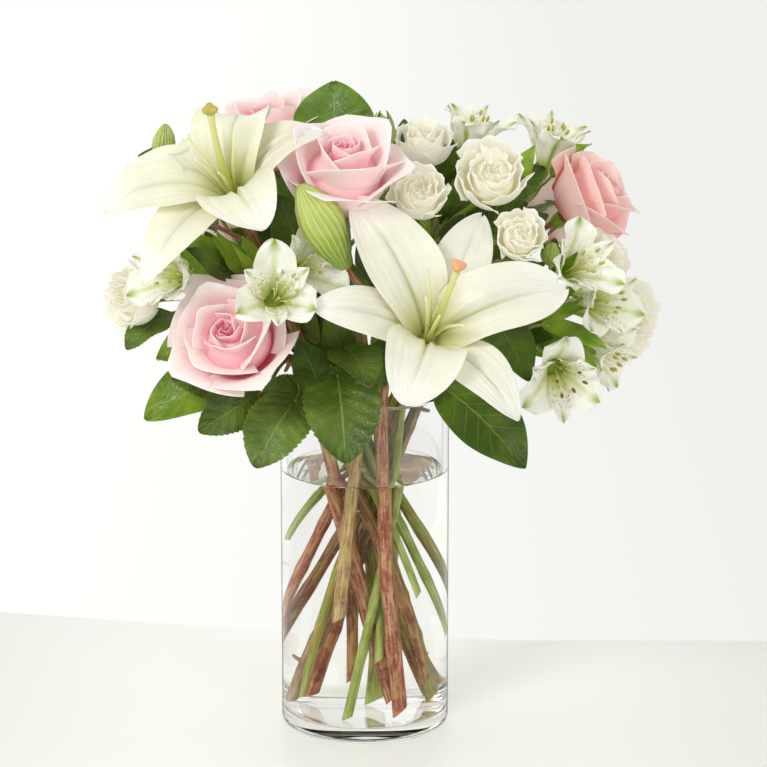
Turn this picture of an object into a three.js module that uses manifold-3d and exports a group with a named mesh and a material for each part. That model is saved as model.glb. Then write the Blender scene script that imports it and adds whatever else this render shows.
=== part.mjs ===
// A mixed bunch of lilies, roses, spray roses and alstroemeria in a clear glass cylinder vase of water.
//
// Millimetres, +Z up. The origin is the middle of the flat underside of the vase, and -Y is the front.
// A bloom has a frame of its own: its root at the origin, its axis along +Z, azimuth 0 to the right.
// Every piece is made by a form, a function of how much it is grown on all sides. Grown by 0 it is the
// piece itself. Grown by GAP it is the room that the pieces made after it leave free.

import * as THREE from "three";
import { mergeVertices } from "three/addons/utils/BufferGeometryUtils.js";
import Module from "manifold-3d";

const wasm = await Module();
wasm.setup();

// ---------------------------------------------------------------------------------------------
// Driving dimensions
// ---------------------------------------------------------------------------------------------

const GAP = 0.4;
const WELD = 1e-4;
const SMOOTHING = 0.12;

const VASE = { radius: 51, bore: 47.5, height: 210, floor: 9, heel: 3, rim: 1, sides: 32 };
const WATER_LEVEL = 159.5;

// Stems: where their bundle is tied above the rim, how far apart the points of their straight part are,
// how they are tapered, and how steeply their feet are cut.
const NECK = { height: 213, spread: 0.3, radius: 34 };
const STRETCH = 55;
const STEM = { taper: 0.8, slant: 0.8, stout: 2.7 };

// Between two stems in the vase is this share of their radii and this much more, and this much is
// between a stem and the glass.
const ELBOW_ROOM = { share: 1.12, more: 0.8, wall: 0.9 };

// How often the stems are moved apart, at how many heights from the lowest up, and how much they are
// straightened each time. A stem whose foot is less than the reach above a height counts there too.
const REST = { rounds: 400, heights: 31, lowest: 12, reach: 4, straighten: 0.16 };

// Where a stem or branch bends to meet what it carries, as a share of its span.
const SWEEP = 0.4;

// Branches of a spray: their radius as a share of the stem's, their taper, and the hips' radius as a
// share of the bloom's size.
const BRANCH = { share: 0.7, taper: 0.85, hip: 0.08 };

// The thin stalks: a leaf's radius, a bud's as a share of the bud's radius, and how far along a leaf or
// bud its stalk meets it.
const LEAF_STALK = 1.1;
const BUD_STALK = 0.2;
const STALK_END = 0.12;

// How high a leaf's rib arches, as a share of its length.
const LEAF_ARCH = 0.16;

// Each bloom: where its root is, how far its axis is turned to the right of the front, how far it is
// tilted up, its size across where it differs from its kind, and its spin about its axis.
const LILIES = {
  front: { root: [35, -88, 256], turn: 16, tilt: 44 },
  left: { root: [-72, -56, 331], turn: -25, tilt: 52 },
  back: { root: [22, 84, 268], turn: 162, tilt: 42 },
};

const ROSES = {
  front_left: { root: [-70, -69, 251], turn: -17, tilt: 31, size: 70, spin: 0 },
  top_middle: { root: [-13, -58, 336], turn: 6, tilt: 63, size: 74, spin: 30 },
  top_left: { root: [-49, 33, 341], turn: -57, tilt: 68, size: 68, spin: 70 },
  right: { root: [120, 4, 315], turn: 75, tilt: 39, size: 62, spin: 15 },
  back_left: { root: [-72, 66, 268], turn: -136, tilt: 34, size: 68, spin: 40 },
  back_right: { root: [96, 74, 290], turn: 128, tilt: 40, size: 66, spin: 100 },
};

const SPRAY_ROSES = {
  top_1: { root: [34, -3, 350], turn: 14, tilt: 65, size: 38, spin: 0 },
  top_2: { root: [31, -54, 333], turn: 8, tilt: 42, size: 36, spin: 40 },
  top_3: { root: [74, -36, 340], turn: 0, tilt: 38, size: 45, spin: 80 },
  top_4: { root: [89, -68, 314], turn: 7, tilt: 31, size: 33, spin: 20 },
  left_1: { root: [-127, -27, 271], turn: -49, tilt: 15, size: 40, spin: 60 },
  right_1: { root: [132, -17, 288], turn: 45, tilt: 22, size: 38, spin: 35 },
  right_2: { root: [144, 7, 250], turn: 47, tilt: 4, size: 50, spin: 75 },
  back_1: { root: [-14, 62, 340], turn: -170, tilt: 62, size: 40, spin: 15 },
  back_2: { root: [54, 48, 338], turn: 140, tilt: 60, size: 38, spin: 55 },
  back_3: { root: [-24, 104, 262], turn: -165, tilt: 14, size: 40, spin: 25 },
};

const FLORETS = {
  left_1: { root: [-52, -96, 283], turn: 6, tilt: 26, size: 50, spin: 90 },
  left_2: { root: [-45, -76, 296], turn: 35, tilt: 24, size: 44, spin: 70 },
  left_3: { root: [-97, -57, 289], turn: -40, tilt: 17, size: 46, spin: 100 },
  top_1: { root: [60, 23, 340], turn: 70, tilt: 77, size: 44, spin: 60 },
  top_2: { root: [107, 34, 331], turn: 67, tilt: 76, size: 46, spin: 90 },
  right_1: { root: [111, -47, 287], turn: 35, tilt: 29, size: 46, spin: 80 },
  right_2: { root: [125, -35, 270], turn: 38, tilt: 11, size: 44, spin: 95 },
  right_3: { root: [110, -42, 237], turn: 9, tilt: -7, size: 50, spin: 90 },
  right_4: { root: [124, -26, 246], turn: 60, tilt: -18, size: 42, spin: 60 },
  back_1: { root: [118, 50, 258], turn: 104, tilt: 12, size: 46, spin: 90 },
  back_2: { root: [80, 92, 236], turn: 150, tilt: 0, size: 46, spin: 80 },
};

// The stems' feet in the water: where each cut end is, and the stem's radius.
const FEET = {
  lily_front: { at: [18, -24, 14], radius: 4.2 },
  lily_left: { at: [12, -12, 20], radius: 4.2 },
  lily_back: { at: [4, 12, 13], radius: 4.2 },
  rose_front_left: { at: [31, -10, 28], radius: 3.6 },
  rose_top_middle: { at: [-14, -30, 75], radius: 3.6 },
  rose_top_left: { at: [30, 6, 14], radius: 3.6 },
  rose_right: { at: [-38, -6, 15], radius: 3.8 },
  rose_back_left: { at: [24, 26, 14], radius: 3.6 },
  rose_back_right: { at: [-22, 20, 13], radius: 3.6 },
  spray_top: { at: [-41, 6, 62], radius: 2.8 },
  spray_left: { at: [41, 8, 78], radius: 2.6 },
  spray_right: { at: [-40, 14, 40], radius: 2.8 },
  spray_back: { at: [-6, -4, 30], radius: 2.6 },
  alstro_left: { at: [43, 0, 56], radius: 2.5 },
  alstro_top: { at: [-34, -20, 22], radius: 2.5 },
  alstro_right: { at: [-9, -26, 11], radius: 2.6 },
  alstro_back: { at: [6, -14, 48], radius: 2.4 },
  greens_top: { at: [4, 2, 38], radius: 2.2 },
  greens_left: { at: [36, -22, 90], radius: 2.2 },
  greens_right: { at: [-42, -10, 118], radius: 2.2 },
};

// Where the branches of a spray, a cluster or a leafy stem part, and how the stem stands there.
const FORKS = {
  spray_top: { root: [38, -26, 300], turn: 40, tilt: 75 },
  spray_left: { root: [-86, -6, 262], turn: -80, tilt: 35 },
  spray_right: { root: [98, -6, 258], turn: 80, tilt: 35 },
  spray_back: { root: [-2, 62, 286], turn: 180, tilt: 70 },
  alstro_left: { root: [-56, -52, 262], turn: -40, tilt: 40 },
  alstro_top: { root: [66, 16, 300], turn: 80, tilt: 65 },
  alstro_right: { root: [86, -34, 250], turn: 60, tilt: 25 },
  alstro_back: { root: [66, 74, 244], turn: 140, tilt: 20 },
  greens_top: { root: [-16, 8, 340], turn: -60, tilt: 85 },
  greens_left: { root: [-78, 10, 300], turn: -90, tilt: 50 },
  greens_right: { root: [84, 22, 292], turn: 90, tilt: 55 },
};

// Closed buds: the stem, how many knots below its top the bud's own stalk parts, root, tip and radius.
const BUDS = [
  { stem: "lily_front", knot: 1, root: [-10, -88, 303], tip: [-36, -99, 353], radius: 13 },
  { stem: "lily_left", knot: 1, root: [-122, 4, 342], tip: [-118, 6, 370], radius: 7 },
  { stem: "spray_top", knot: 0, root: [12, -22, 360], tip: [11, -24, 380], radius: 6.5 },
  { stem: "spray_right", knot: 0, root: [108, -62, 300], tip: [109, -74, 314], radius: 6 },
];

// The leaves of each stem: how many knots below its top the leaf's stalk parts, root, tip, half width,
// which way the upper face looks, and the kind of edge.
const SAWN = { teeth: 0.16, along: 8, outline: [0.85, 0.7] };
const SMOOTH = { teeth: 0, along: 5, outline: [0.9, 0.75] };
const LANCE = { teeth: 0, along: 4, outline: [0.8, 0.9] };
const LEAVES = {
  greens_top: [
    { knot: 0, root: [-16, 6, 350], tip: [-18, 8, 395], half: 25, face: [-10, -90, 30], kind: SMOOTH },
    { knot: 1, root: [-20, 22, 338], tip: [-26, 66, 368], half: 20, face: [0, -40, 80], kind: SMOOTH },
  ],
  greens_left: [
    { knot: 0, root: [-96, 4, 328], tip: [-134, 0, 352], half: 14, face: [0, -60, 70], kind: SMOOTH },
    { knot: 1, root: [-90, 26, 300], tip: [-132, 50, 322], half: 17, face: [-30, 20, 80], kind: SMOOTH },
    { knot: 2, root: [-52, -36, 236], tip: [-128, -62, 206], half: 21, face: [-10, -70, 70], kind: SMOOTH },
    { knot: 2, root: [-58, -26, 246], tip: [-122, -50, 240], half: 18, face: [0, -60, 80], kind: SMOOTH },
  ],
  rose_front_left: [
    { knot: 2, root: [-37, -66, 222], tip: [-63, -95, 186], half: 20, face: [-20, -90, 40], kind: SAWN },
    { knot: 2, root: [-16, -64, 238], tip: [-10, -100, 190], half: 24, face: [10, -90, 30], kind: SAWN },
  ],
  rose_top_middle: [
    { knot: 3, root: [-12, -56, 248], tip: [4, -102, 236], half: 16, face: [0, -40, 90], kind: SAWN },
    { knot: 1, root: [-32, -52, 292], tip: [-50, -60, 340], half: 14, face: [10, -90, 20], kind: SMOOTH },
  ],
  greens_right: [
    { knot: 2, root: [42, -50, 226], tip: [94, -77, 181], half: 21, face: [30, -80, 40], kind: SMOOTH },
    { knot: 2, root: [74, -34, 262], tip: [96, -72, 232], half: 14, face: [20, -80, 30], kind: SMOOTH },
    { knot: 0, root: [92, 40, 296], tip: [136, 58, 316], half: 17, face: [30, 20, 80], kind: SMOOTH },
  ],
  alstro_left: [
    { knot: 0, root: [-76, -48, 288], tip: [-106, -72, 320], half: 9, face: [40, -80, 30], kind: LANCE },
    { knot: 0, root: [-66, -52, 290], tip: [-84, -80, 322], half: 8, face: [-20, -80, 30], kind: LANCE },
  ],
  alstro_top: [
    { knot: 0, root: [112, 16, 336], tip: [136, 18, 356], half: 6, face: [-30, -50, 60], kind: LANCE },
  ],
  alstro_right: [
    { knot: 0, root: [104, -56, 262], tip: [142, -70, 250], half: 7, face: [0, -60, 60], kind: LANCE },
  ],
  alstro_back: [
    { knot: 0, root: [90, 84, 262], tip: [100, 118, 280], half: 8, face: [0, -30, 80], kind: LANCE },
  ],
  spray_left: [
    { knot: 0, root: [-112, -24, 262], tip: [-140, -44, 244], half: 11, face: [-30, -60, 60], kind: SAWN },
  ],
  rose_back_left: [
    { knot: 2, root: [-52, 58, 232], tip: [-104, 96, 206], half: 20, face: [-30, 60, 60], kind: SAWN },
    { knot: 1, root: [-34, 76, 246], tip: [-56, 128, 232], half: 18, face: [-20, 50, 70], kind: SAWN },
    { knot: 1, root: [-86, 48, 268], tip: [-132, 74, 262], half: 16, face: [-20, 20, 90], kind: SAWN },
  ],
  rose_back_right: [
    { knot: 2, root: [56, 58, 238], tip: [92, 112, 206], half: 19, face: [30, 60, 60], kind: SAWN },
    { knot: 2, root: [88, 42, 256], tip: [138, 72, 236], half: 18, face: [40, 20, 80], kind: SAWN },
  ],
  lily_back: [
    { knot: 2, root: [10, 60, 240], tip: [14, 124, 216], half: 12, face: [0, 60, 70], kind: LANCE },
  ],
  spray_back: [
    { knot: 0, root: [-30, 72, 312], tip: [-58, 104, 334], half: 13, face: [-20, 20, 80], kind: SAWN },
  ],
};

// ---------------------------------------------------------------------------------------------
// Solids
// ---------------------------------------------------------------------------------------------

const vector = ([x, y, z]) => new THREE.Vector3(x, y, z);
const radians = THREE.MathUtils.degToRad;
const lerp = THREE.MathUtils.lerp;

/** A closed geometry as a solid with its faces pointing out. */
function solidOf(geometry) {
  const bare = new THREE.BufferGeometry();
  bare.setAttribute("position", geometry.getAttribute("position"));
  bare.setIndex(geometry.getIndex());
  const merged = mergeVertices(bare, WELD);
  const corners = merged.getIndex().array;
  const forward = [];
  const backward = [];
  for (let i = 0; i < corners.length; i += 3) {
    const [a, b, c] = corners.slice(i, i + 3);
    if (a === b || b === c || c === a) continue;
    forward.push(a, b, c);
    backward.push(a, c, b);
  }
  const vertProperties = merged.getAttribute("position").array;
  const build = (triangles) =>
    new wasm.Manifold(
      new wasm.Mesh({ numProp: 3, vertProperties, triVerts: new Uint32Array(triangles) }),
    );
  const solid = build(forward);
  return solid.volume() > 0 ? solid : build(backward);
}

/** The largest shell of a solid: loose scraps and the walls of sealed hollows are left out. */
function oneBody(solid) {
  const bodies = solid.decompose();
  return bodies.reduce((best, body) => (body.volume() > best.volume() ? body : best));
}

const fuse = (solids) => wasm.Manifold.union(solids);

/** The frame of a bloom: its root, and its axis turned to the right of the front and tilted up. */
function frameOf({ root, turn, tilt, spin = 0 }) {
  const axis = new THREE.Vector3(
    Math.sin(radians(turn)) * Math.cos(radians(tilt)),
    -Math.cos(radians(turn)) * Math.cos(radians(tilt)),
    Math.sin(radians(tilt)),
  );
  const right = new THREE.Vector3(0, 0, 1).cross(axis).normalize();
  const up = new THREE.Vector3().crossVectors(axis, right);
  return new THREE.Matrix4()
    .makeBasis(right, up, axis)
    .setPosition(vector(root))
    .multiply(new THREE.Matrix4().makeRotationZ(radians(spin)));
}

/** A form made in a bloom's own frame, set in its place. */
const inPlace = (bloom, form) => (grow) => form(grow).transform(frameOf(bloom).elements);

// ---------------------------------------------------------------------------------------------
// Blades: petals, sepals and leaves
// ---------------------------------------------------------------------------------------------

const PETAL = {
  across: 4,
  along: 5,
  thick: 1.1,
  curl: [0, 0],
  ripple: 0,
  waves: 2,
  teeth: 0,
  outline: [0.7, 0.7],
};

/** The columns round a blade: its place across, from -1 to 1, and its face, 1 upper or -1 lower. */
function columnsOf(across, edged) {
  const places = Array.from({ length: across }, (_, i) => -1 + (2 * i) / (across - 1));
  const upper = places.map((s) => [s, edged || Math.abs(s) < 1 ? 1 : 0]);
  const lower = places.map((s) => [s, -1]).reverse();
  return upper.concat(edged ? lower : lower.slice(1, -1));
}

/**
 * A thin closed blade along a curve. It curls about its length by curl per mm, from root to tip, and
 * its edges ripple. Both faces are split into triangles alike, so a waved blade never crosses itself.
 */
function blade(spec, grow = 0) {
  const { spine, side, half, outline, teeth } = { ...PETAL, ...spec };
  const { curl, ripple, waves, across, along, thick } = { ...PETAL, ...spec };
  const columns = columnsOf(across, grow > 0);
  const sheet = new THREE.SphereGeometry(1, columns.length, along);
  const position = sheet.getAttribute("position");
  for (let row = 0, vertex = 0; row <= along; row++) {
    const t = (1 - Math.cos((Math.PI * row) / along)) / 2;
    const end = row === 0 ? -1 : row === along ? 1 : 0;
    const tangent = spine.getTangent(t);
    const centre = spine.getPoint(t).addScaledVector(tangent, end * grow);
    const sideways = side.clone().addScaledVector(tangent, -side.dot(tangent)).normalize();
    const inward = new THREE.Vector3().crossVectors(tangent, sideways);
    const notch = row % 2 ? 1 : 1 - teeth;
    const width = end ? 0 : half * notch * Math.sin(Math.PI * t ** outline[0]) ** outline[1] + grow;
    const bend = Math.max(lerp(curl[0], curl[1], t), 1e-6);
    for (let column = 0; column <= columns.length; column++, vertex++) {
      const [s, face] = columns[column % columns.length];
      const angle = bend * width * s;
      const wave = end ? 0 : ripple * s * s * Math.sin(2 * Math.PI * waves * t + s);
      const off = end ? 0 : face * (thick / 2 + grow);
      const point = centre
        .clone()
        .addScaledVector(sideways, Math.sin(angle) * (1 / bend - off))
        .addScaledVector(inward, (1 - Math.cos(angle)) / bend + wave + off * Math.cos(angle));
      position.setXYZ(vertex, point.x, point.y, point.z);
    }
  }
  sheet.setIndex(matchedFaces(columns, along));
  return solidOf(sheet);
}

/** The triangles of a blade's grid, with the diagonals of the lower face under those of the upper. */
function matchedFaces(columns, along) {
  const index = [];
  const ring = columns.length + 1;
  for (let row = 0; row < along; row++) {
    for (let column = 0; column < columns.length; column++) {
      const b = row * ring + column;
      const a = b + 1;
      const c = b + ring;
      const d = a + ring;
      const lower = columns[column][1] < 0 || (column > 0 && columns[(column + 1) % columns.length][1] < 0);
      if (row > 0) index.push(a, b, lower ? c : d);
      if (row < along - 1) index.push(lower ? a : b, c, d);
    }
  }
  return index;
}

/**
 * A blade on a bloom: its spine lies in the upright plane at an azimuth, as [out, up] points. A tucked
 * petal has one edge further in than the other, so that a ring of them lies like tiles.
 */
function petal(azimuth, points, { tuck = 0, ...spec }) {
  const turn = radians(azimuth);
  const place = ([out, up]) => new THREE.Vector3(out * Math.cos(turn), out * Math.sin(turn), up);
  const spine = new THREE.CubicBezierCurve3(...points.map(place));
  const side = new THREE.Vector3(-Math.sin(turn + tuck), Math.cos(turn + tuck), 0);
  return (grow) => blade({ ...spec, spine, side }, grow);
}

/** The way a leaf's upper face looks, square to its length. */
function faceOf({ root, tip, face }) {
  const length = vector(tip).sub(vector(root));
  const up = vector(face).normalize();
  return up.addScaledVector(length, -up.dot(length) / length.lengthSq()).normalize();
}

/** The middle rib of a leaf, arched towards its upper face. */
function ribOf(spec) {
  const from = vector(spec.root);
  const to = vector(spec.tip);
  const rise = faceOf(spec).multiplyScalar(LEAF_ARCH * from.distanceTo(to));
  const early = from.clone().lerp(to, 0.33).add(rise);
  const late = from.clone().lerp(to, 0.7).add(rise);
  return new THREE.CubicBezierCurve3(from, early, late, to);
}

/** A leaf blade along its rib. */
function leaf(spec, spine) {
  const side = new THREE.Vector3().crossVectors(faceOf(spec), spine.getTangent(0.5)).normalize();
  const shape = { spine, side, half: spec.half, across: 3, thick: 1, curl: [0.012, 0.012], ripple: 1.2 };
  return (grow) => blade({ ...shape, ...spec.kind }, grow);
}

// ---------------------------------------------------------------------------------------------
// Round bodies: stems, buds, hips and pistils
// ---------------------------------------------------------------------------------------------

/**
 * A closed round body along a curve, with flat ends. Its rings are [place along, radius, swell], where
 * swell is how far its lobes stand out there, as a share of the radius.
 */
function spindle({ curve, rings, sides, lobes = 0, slant = 0 }, grow = 0) {
  const body = new THREE.SphereGeometry(1, sides, rings.length + 1);
  const position = body.getAttribute("position");
  const across = new THREE.Vector3(1, 0, 0);
  const last = rings.length - 1;
  if (Math.abs(curve.getTangent(0).x) > 0.9) across.set(0, 1, 0);
  for (let row = 0, vertex = 0; row <= rings.length + 1; row++) {
    const pole = row === 0 || row === rings.length + 1;
    const [t, radius, swell = 0] = rings[THREE.MathUtils.clamp(row - 1, 0, last)];
    const tangent = curve.getTangent(t);
    const end = row <= 1 ? -1 : row > last ? 1 : 0;
    const centre = curve.getPoint(t).addScaledVector(tangent, end * grow);
    across.addScaledVector(tangent, -across.dot(tangent)).normalize();
    const beside = new THREE.Vector3().crossVectors(tangent, across);
    for (let column = 0; column <= sides; column++, vertex++) {
      const angle = (2 * Math.PI * (column % sides)) / sides;
      const lobed = radius * (1 + swell * Math.cos(lobes * angle));
      const reach = pole ? 0 : lobed + grow / Math.cos(Math.PI / sides);
      const lean = row <= 1 ? slant * reach * Math.cos(angle) : 0;
      const point = centre
        .clone()
        .addScaledVector(across, reach * Math.cos(angle))
        .addScaledVector(beside, reach * Math.sin(angle))
        .addScaledVector(tangent, lean);
      position.setXYZ(vertex, point.x, point.y, point.z);
    }
  }
  return solidOf(body);
}

const line = (from, to) => new THREE.LineCurve3(vector(from), vector(to));

/** Rings of a tube that tapers evenly. */
const taper = (count, from, to) =>
  Array.from({ length: count }, (_, i) => [i / (count - 1), lerp(from, to, i / (count - 1))]);

// ---------------------------------------------------------------------------------------------
// The stems' way through the vase
// ---------------------------------------------------------------------------------------------

/** The point at the rim where a stem leaves the vase, towards what it carries. */
function neckOf(target) {
  const neck = new THREE.Vector2(target[0], target[1]).multiplyScalar(NECK.spread);
  return neck.clampLength(0, NECK.radius);
}

/** Straight stems from foot to neck, with a point every stretch or so. */
function straightStem(name, target) {
  const { at, radius } = FEET[name];
  const neck = neckOf(target);
  const steps = Math.round((NECK.height - at[2]) / STRETCH);
  const points = Array.from({ length: steps + 1 }, (_, i) => {
    const t = i / steps;
    return new THREE.Vector3(lerp(at[0], neck.x, t), lerp(at[1], neck.y, t), lerp(at[2], NECK.height, t));
  });
  return { name, radius, points };
}

/** The two points next to a height on a stem, and how far between them it is. */
function stretchAt(points, height) {
  const share = ((height - points[0].z) / (NECK.height - points[0].z)) * (points.length - 1);
  const low = THREE.MathUtils.clamp(Math.floor(share), 0, points.length - 2);
  return { low: points[low], high: points[low + 1], share: share - low };
}

/** Moves two stems apart at a height, if they are closer there than they may be. */
function partAt(one, other, height) {
  const a = stretchAt(one.points, height);
  const b = stretchAt(other.points, height);
  const atA = a.low.clone().lerp(a.high, a.share);
  const atB = b.low.clone().lerp(b.high, b.share);
  const apart = atB.sub(atA).setZ(0);
  const need = (one.radius + other.radius) * ELBOW_ROOM.share + ELBOW_ROOM.more;
  const short = need - apart.length();
  if (short <= 0) return;
  const push = apart.normalize().multiplyScalar(short * 0.5);
  a.low.addScaledVector(push, -(1 - a.share));
  a.high.addScaledVector(push, -a.share);
  b.low.addScaledVector(push, 1 - b.share);
  b.high.addScaledVector(push, b.share);
}

/** Keeps a stem's points inside the glass, without kinks. */
function settle({ radius, points }) {
  const room = VASE.bore - radius - ELBOW_ROOM.wall;
  points.forEach((point, i) => {
    if (i > 0 && i < points.length - 1) {
      point.x += REST.straighten * ((points[i - 1].x + points[i + 1].x) / 2 - point.x);
      point.y += REST.straighten * ((points[i - 1].y + points[i + 1].y) / 2 - point.y);
    }
    const out = Math.hypot(point.x, point.y);
    if (out > room) point.multiply(new THREE.Vector3(room / out, room / out, 1));
  });
}

/** Lets all the stems find their places between each other. */
function arrange(stems) {
  const { heights: length, lowest } = REST;
  const heights = Array.from({ length }, (_, i) => lowest + (i * (NECK.height - lowest)) / (length - 1));
  for (let turn = 0; turn < REST.rounds; turn++) {
    for (const height of heights) {
      const present = stems.filter(({ points }) => points[0].z <= height + REST.reach);
      present.forEach((one, i) => present.slice(i + 1).forEach((other) => partAt(one, other, height)));
    }
    stems.forEach(settle);
  }
}

/** A curve from a point on the way to another, arriving along an axis. */
function sweep(from, heading, to, arrival) {
  const reach = from.distanceTo(to) * SWEEP;
  return new THREE.CubicBezierCurve3(
    from,
    from.clone().addScaledVector(heading, reach),
    to.clone().addScaledVector(arrival, -reach),
    to,
  );
}

const axisOf = (bloom) => new THREE.Vector3().setFromMatrixColumn(frameOf(bloom), 2);

const CARRIED = {
  ...Object.fromEntries(Object.entries(LILIES).map(([name, bloom]) => ["lily_" + name, bloom])),
  ...Object.fromEntries(Object.entries(ROSES).map(([name, bloom]) => ["rose_" + name, bloom])),
  ...FORKS,
};

const STEMS = Object.keys(FEET).map((name) => straightStem(name, CARRIED[name].root));
arrange(STEMS);

/** The whole curve of a stem, from its cut foot to what it carries. */
function courseOf({ name, points }) {
  const target = CARRIED[name];
  const neck = points.at(-1);
  const heading = neck.clone().sub(points.at(-2)).normalize();
  const upper = sweep(neck, heading, vector(target.root), axisOf(target));
  return new THREE.CatmullRomCurve3([...points, ...upper.getPoints(3).slice(1)]);
}

// ---------------------------------------------------------------------------------------------
// Blooms
// ---------------------------------------------------------------------------------------------

/** Several forms of one piece, grown alike and joined. */
const together = (forms) => (grow) => fuse(forms.map((form) => form(grow)));

const round = (spec) => (grow) => spindle(spec, grow);

const INNER = {
  root: [3, 3],
  half: 25,
  outline: [1.45, 1],
  across: 4,
  along: 6,
  curl: [0.05, 0.014],
  ripple: 1.5,
};
const OUTER = { ...INNER, root: [5.5, 2], half: 18, across: 3, along: 5, curl: [0.05, 0.02], ripple: 0.8 };

/** A lily's petals, as [azimuth, reach, rise, belly, kind], round a short throat. */
const LILY_PETALS = {
  front: [
    [7, 80, 43, 50, INNER],
    [58, 78, 44, 54, OUTER],
    [117, 82, 51, 50, INNER],
    [173, 74, 46, 50, OUTER],
    [241, 68, 41, 52, INNER],
    [297, 78, 36, 52, OUTER],
  ],
  left: [
    [315, 66, 42, 52, INNER],
    [38, 64, 37, 56, OUTER],
    [92, 52, 22, 72, INNER],
    [147, 54, 21, 72, OUTER],
    [207, 76, 30, 52, INNER],
    [254, 84, 27, 52, OUTER],
  ],
  back: [
    [10, 76, 40, 50, INNER],
    [70, 72, 40, 54, OUTER],
    [130, 78, 42, 50, INNER],
    [190, 70, 38, 54, OUTER],
    [250, 74, 40, 50, INNER],
    [310, 72, 36, 54, OUTER],
  ],
};

/** The six petals of a lily on their throat. */
function lilyPetals(name) {
  const petals = LILY_PETALS[name].map(([azimuth, reach, rise, belly, kind]) => {
    const [out, up] = kind.root;
    const points = [kind.root, [1.8 * out + 3, up + 22], [0.38 * reach + out, belly - out], [reach, rise]];
    return petal(azimuth, points, kind);
  });
  const throat = round({ curve: line([0, 0, 0.4], [0, 0, 9]), rings: [[0, 6.5], [1, 7.5]], sides: 6 });
  return together([throat, ...petals]);
}

// A lily's filaments, as [azimuth, reach, height].
const FILAMENTS = [
  [40, 13, 50],
  [110, 19, 55],
  [190, 13, 60],
  [300, 19, 50],
];

/** A style with its three-lobed stigma, and filaments round it. */
function pistil() {
  const bow = new THREE.QuadraticBezierCurve3(vector([0, 0, 9.5]), vector([1, -2, 45]), vector([4, 6, 76]));
  const style = round({ curve: bow, rings: [[0, 3], [0.2, 2.2], [0.6, 1.5], [1, 2]], sides: 5 });
  const knob = round({
    curve: line([3.6, 5.5, 74], [4.4, 7, 79]),
    rings: [[0, 2.2], [1, 4, 0.2]],
    sides: 6,
    lobes: 3,
  });
  const filaments = FILAMENTS.map(([azimuth, reach, height]) => {
    const turn = radians(azimuth);
    const at = (out, up) => new THREE.Vector3(out * Math.cos(turn), out * Math.sin(turn), up);
    const curve = new THREE.QuadraticBezierCurve3(at(1.2, 11), at(5, 34), at(reach, height));
    return round({ curve, rings: [[0, 0.9], [1, 0.5]], sides: 3 });
  });
  return together([style, knob, ...filaments]);
}

// How far a rose's heart stands above its root, as a share of its size.
const ROSE_LIFT = 0.02;

// A rose's rings of petals from the heart outwards: how many, the spine as shares of the size, half
// width, curl radius, and how the rim rolls out.
const ROSE_RINGS = [
  { count: 3, spine: [[0.06, 0.24], [0.17, 0.3], [0.15, 0.48], [0.12, 0.62]], half: 0.16, radius: 0.14 },
  { count: 3, spine: [[0.12, 0.14], [0.3, 0.14], [0.27, 0.42], [0.27, 0.6]], half: 0.24, radius: 0.25 },
  { count: 4, spine: [[0.12, 0.07], [0.41, 0.0], [0.39, 0.32], [0.54, 0.4]], half: 0.32, radius: 0.42 },
];

/** A rose's rings of petals round its heart. */
function rose(size, rings = ROSE_RINGS) {
  const petals = rings.flatMap(({ count, spine, half, radius }, ring) =>
    Array.from({ length: count }, (_, i) => {
      const azimuth = (360 * (i + 0.37 * ring)) / count + 47 * ring;
      const points = spine.map(([out, up]) => [out * size, up * size]);
      const curl = [1 / (radius * size), 0.8 / (radius * size)];
      const shape = { half: half * size, curl, across: 3, along: ring < 2 ? 3 : 4 };
      return petal(azimuth, points, { ...shape, tuck: 0.3, outline: [1, 0.6] });
    }),
  );
  const heart = round({
    curve: line([0, 0, ROSE_LIFT * size], [0, 0, 0.56 * size]),
    rings: [[0, 0.15 * size], [0.25, 0.2 * size], [1, 0.06 * size]],
    sides: 6,
  });
  return together([heart, ...petals]);
}

const SPRAY_RINGS = [
  ROSE_RINGS[1],
  { ...ROSE_RINGS[2], count: 3, half: 0.38 },
];

/** An alstroemeria floret: three broad outer and three narrow inner petals in a funnel. */
function floret(size) {
  const scale = size / 50;
  const petals = Array.from({ length: 6 }, (_, i) => {
    const inner = i % 2;
    const reach = (inner ? 22 : 27) * scale;
    const rise = (inner ? 42 : 38) * scale;
    const root = (inner ? 2.6 : 4.2) * scale;
    const points = [
      [root, 5 * scale],
      [root + 2 * scale, 17 * scale],
      [0.45 * reach + root, 0.85 * rise],
      [reach, rise],
    ];
    const shape = { half: (inner ? 6 : 10.5) * scale, across: 3, along: inner ? 3 : 4 };
    return petal(60 * i, points, { ...shape, curl: [0.12, 0.03], outline: [1.3, 0.9] });
  });
  const funnel = round({
    curve: line([0, 0, 0.4], [0, 0, 12 * scale]),
    rings: [[0, 2.4 * scale], [1, 6 * scale]],
    sides: 6,
  });
  return together([funnel, ...petals]);
}

/** The hip under a rose, spread at its top into a star of five sepals, in the rose's own frame. */
function calyx(size) {
  const radius = 0.075 * size;
  return round({
    curve: line([0, 0, -0.16 * size], [0, 0, -0.4]),
    rings: [
      [0, radius * 0.5],
      [0.65, radius],
      [0.86, radius * 2.4, 0.5],
      [1, radius * 2.5, 0.52],
    ],
    sides: 10,
    lobes: 5,
  });
}

// ---------------------------------------------------------------------------------------------
// The group of nodes
// ---------------------------------------------------------------------------------------------

const bouquet = new THREE.Group();
const taken = [];

/** Cuts room for all that is already in place, apart from what the piece grows on. */
function clearOf(solid, own = "") {
  for (const { name, room } of taken) {
    if (name !== own && solid.minGap(room, 1) <= 0) solid = solid.subtract(room);
  }
  return oneBody(solid);
}

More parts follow.
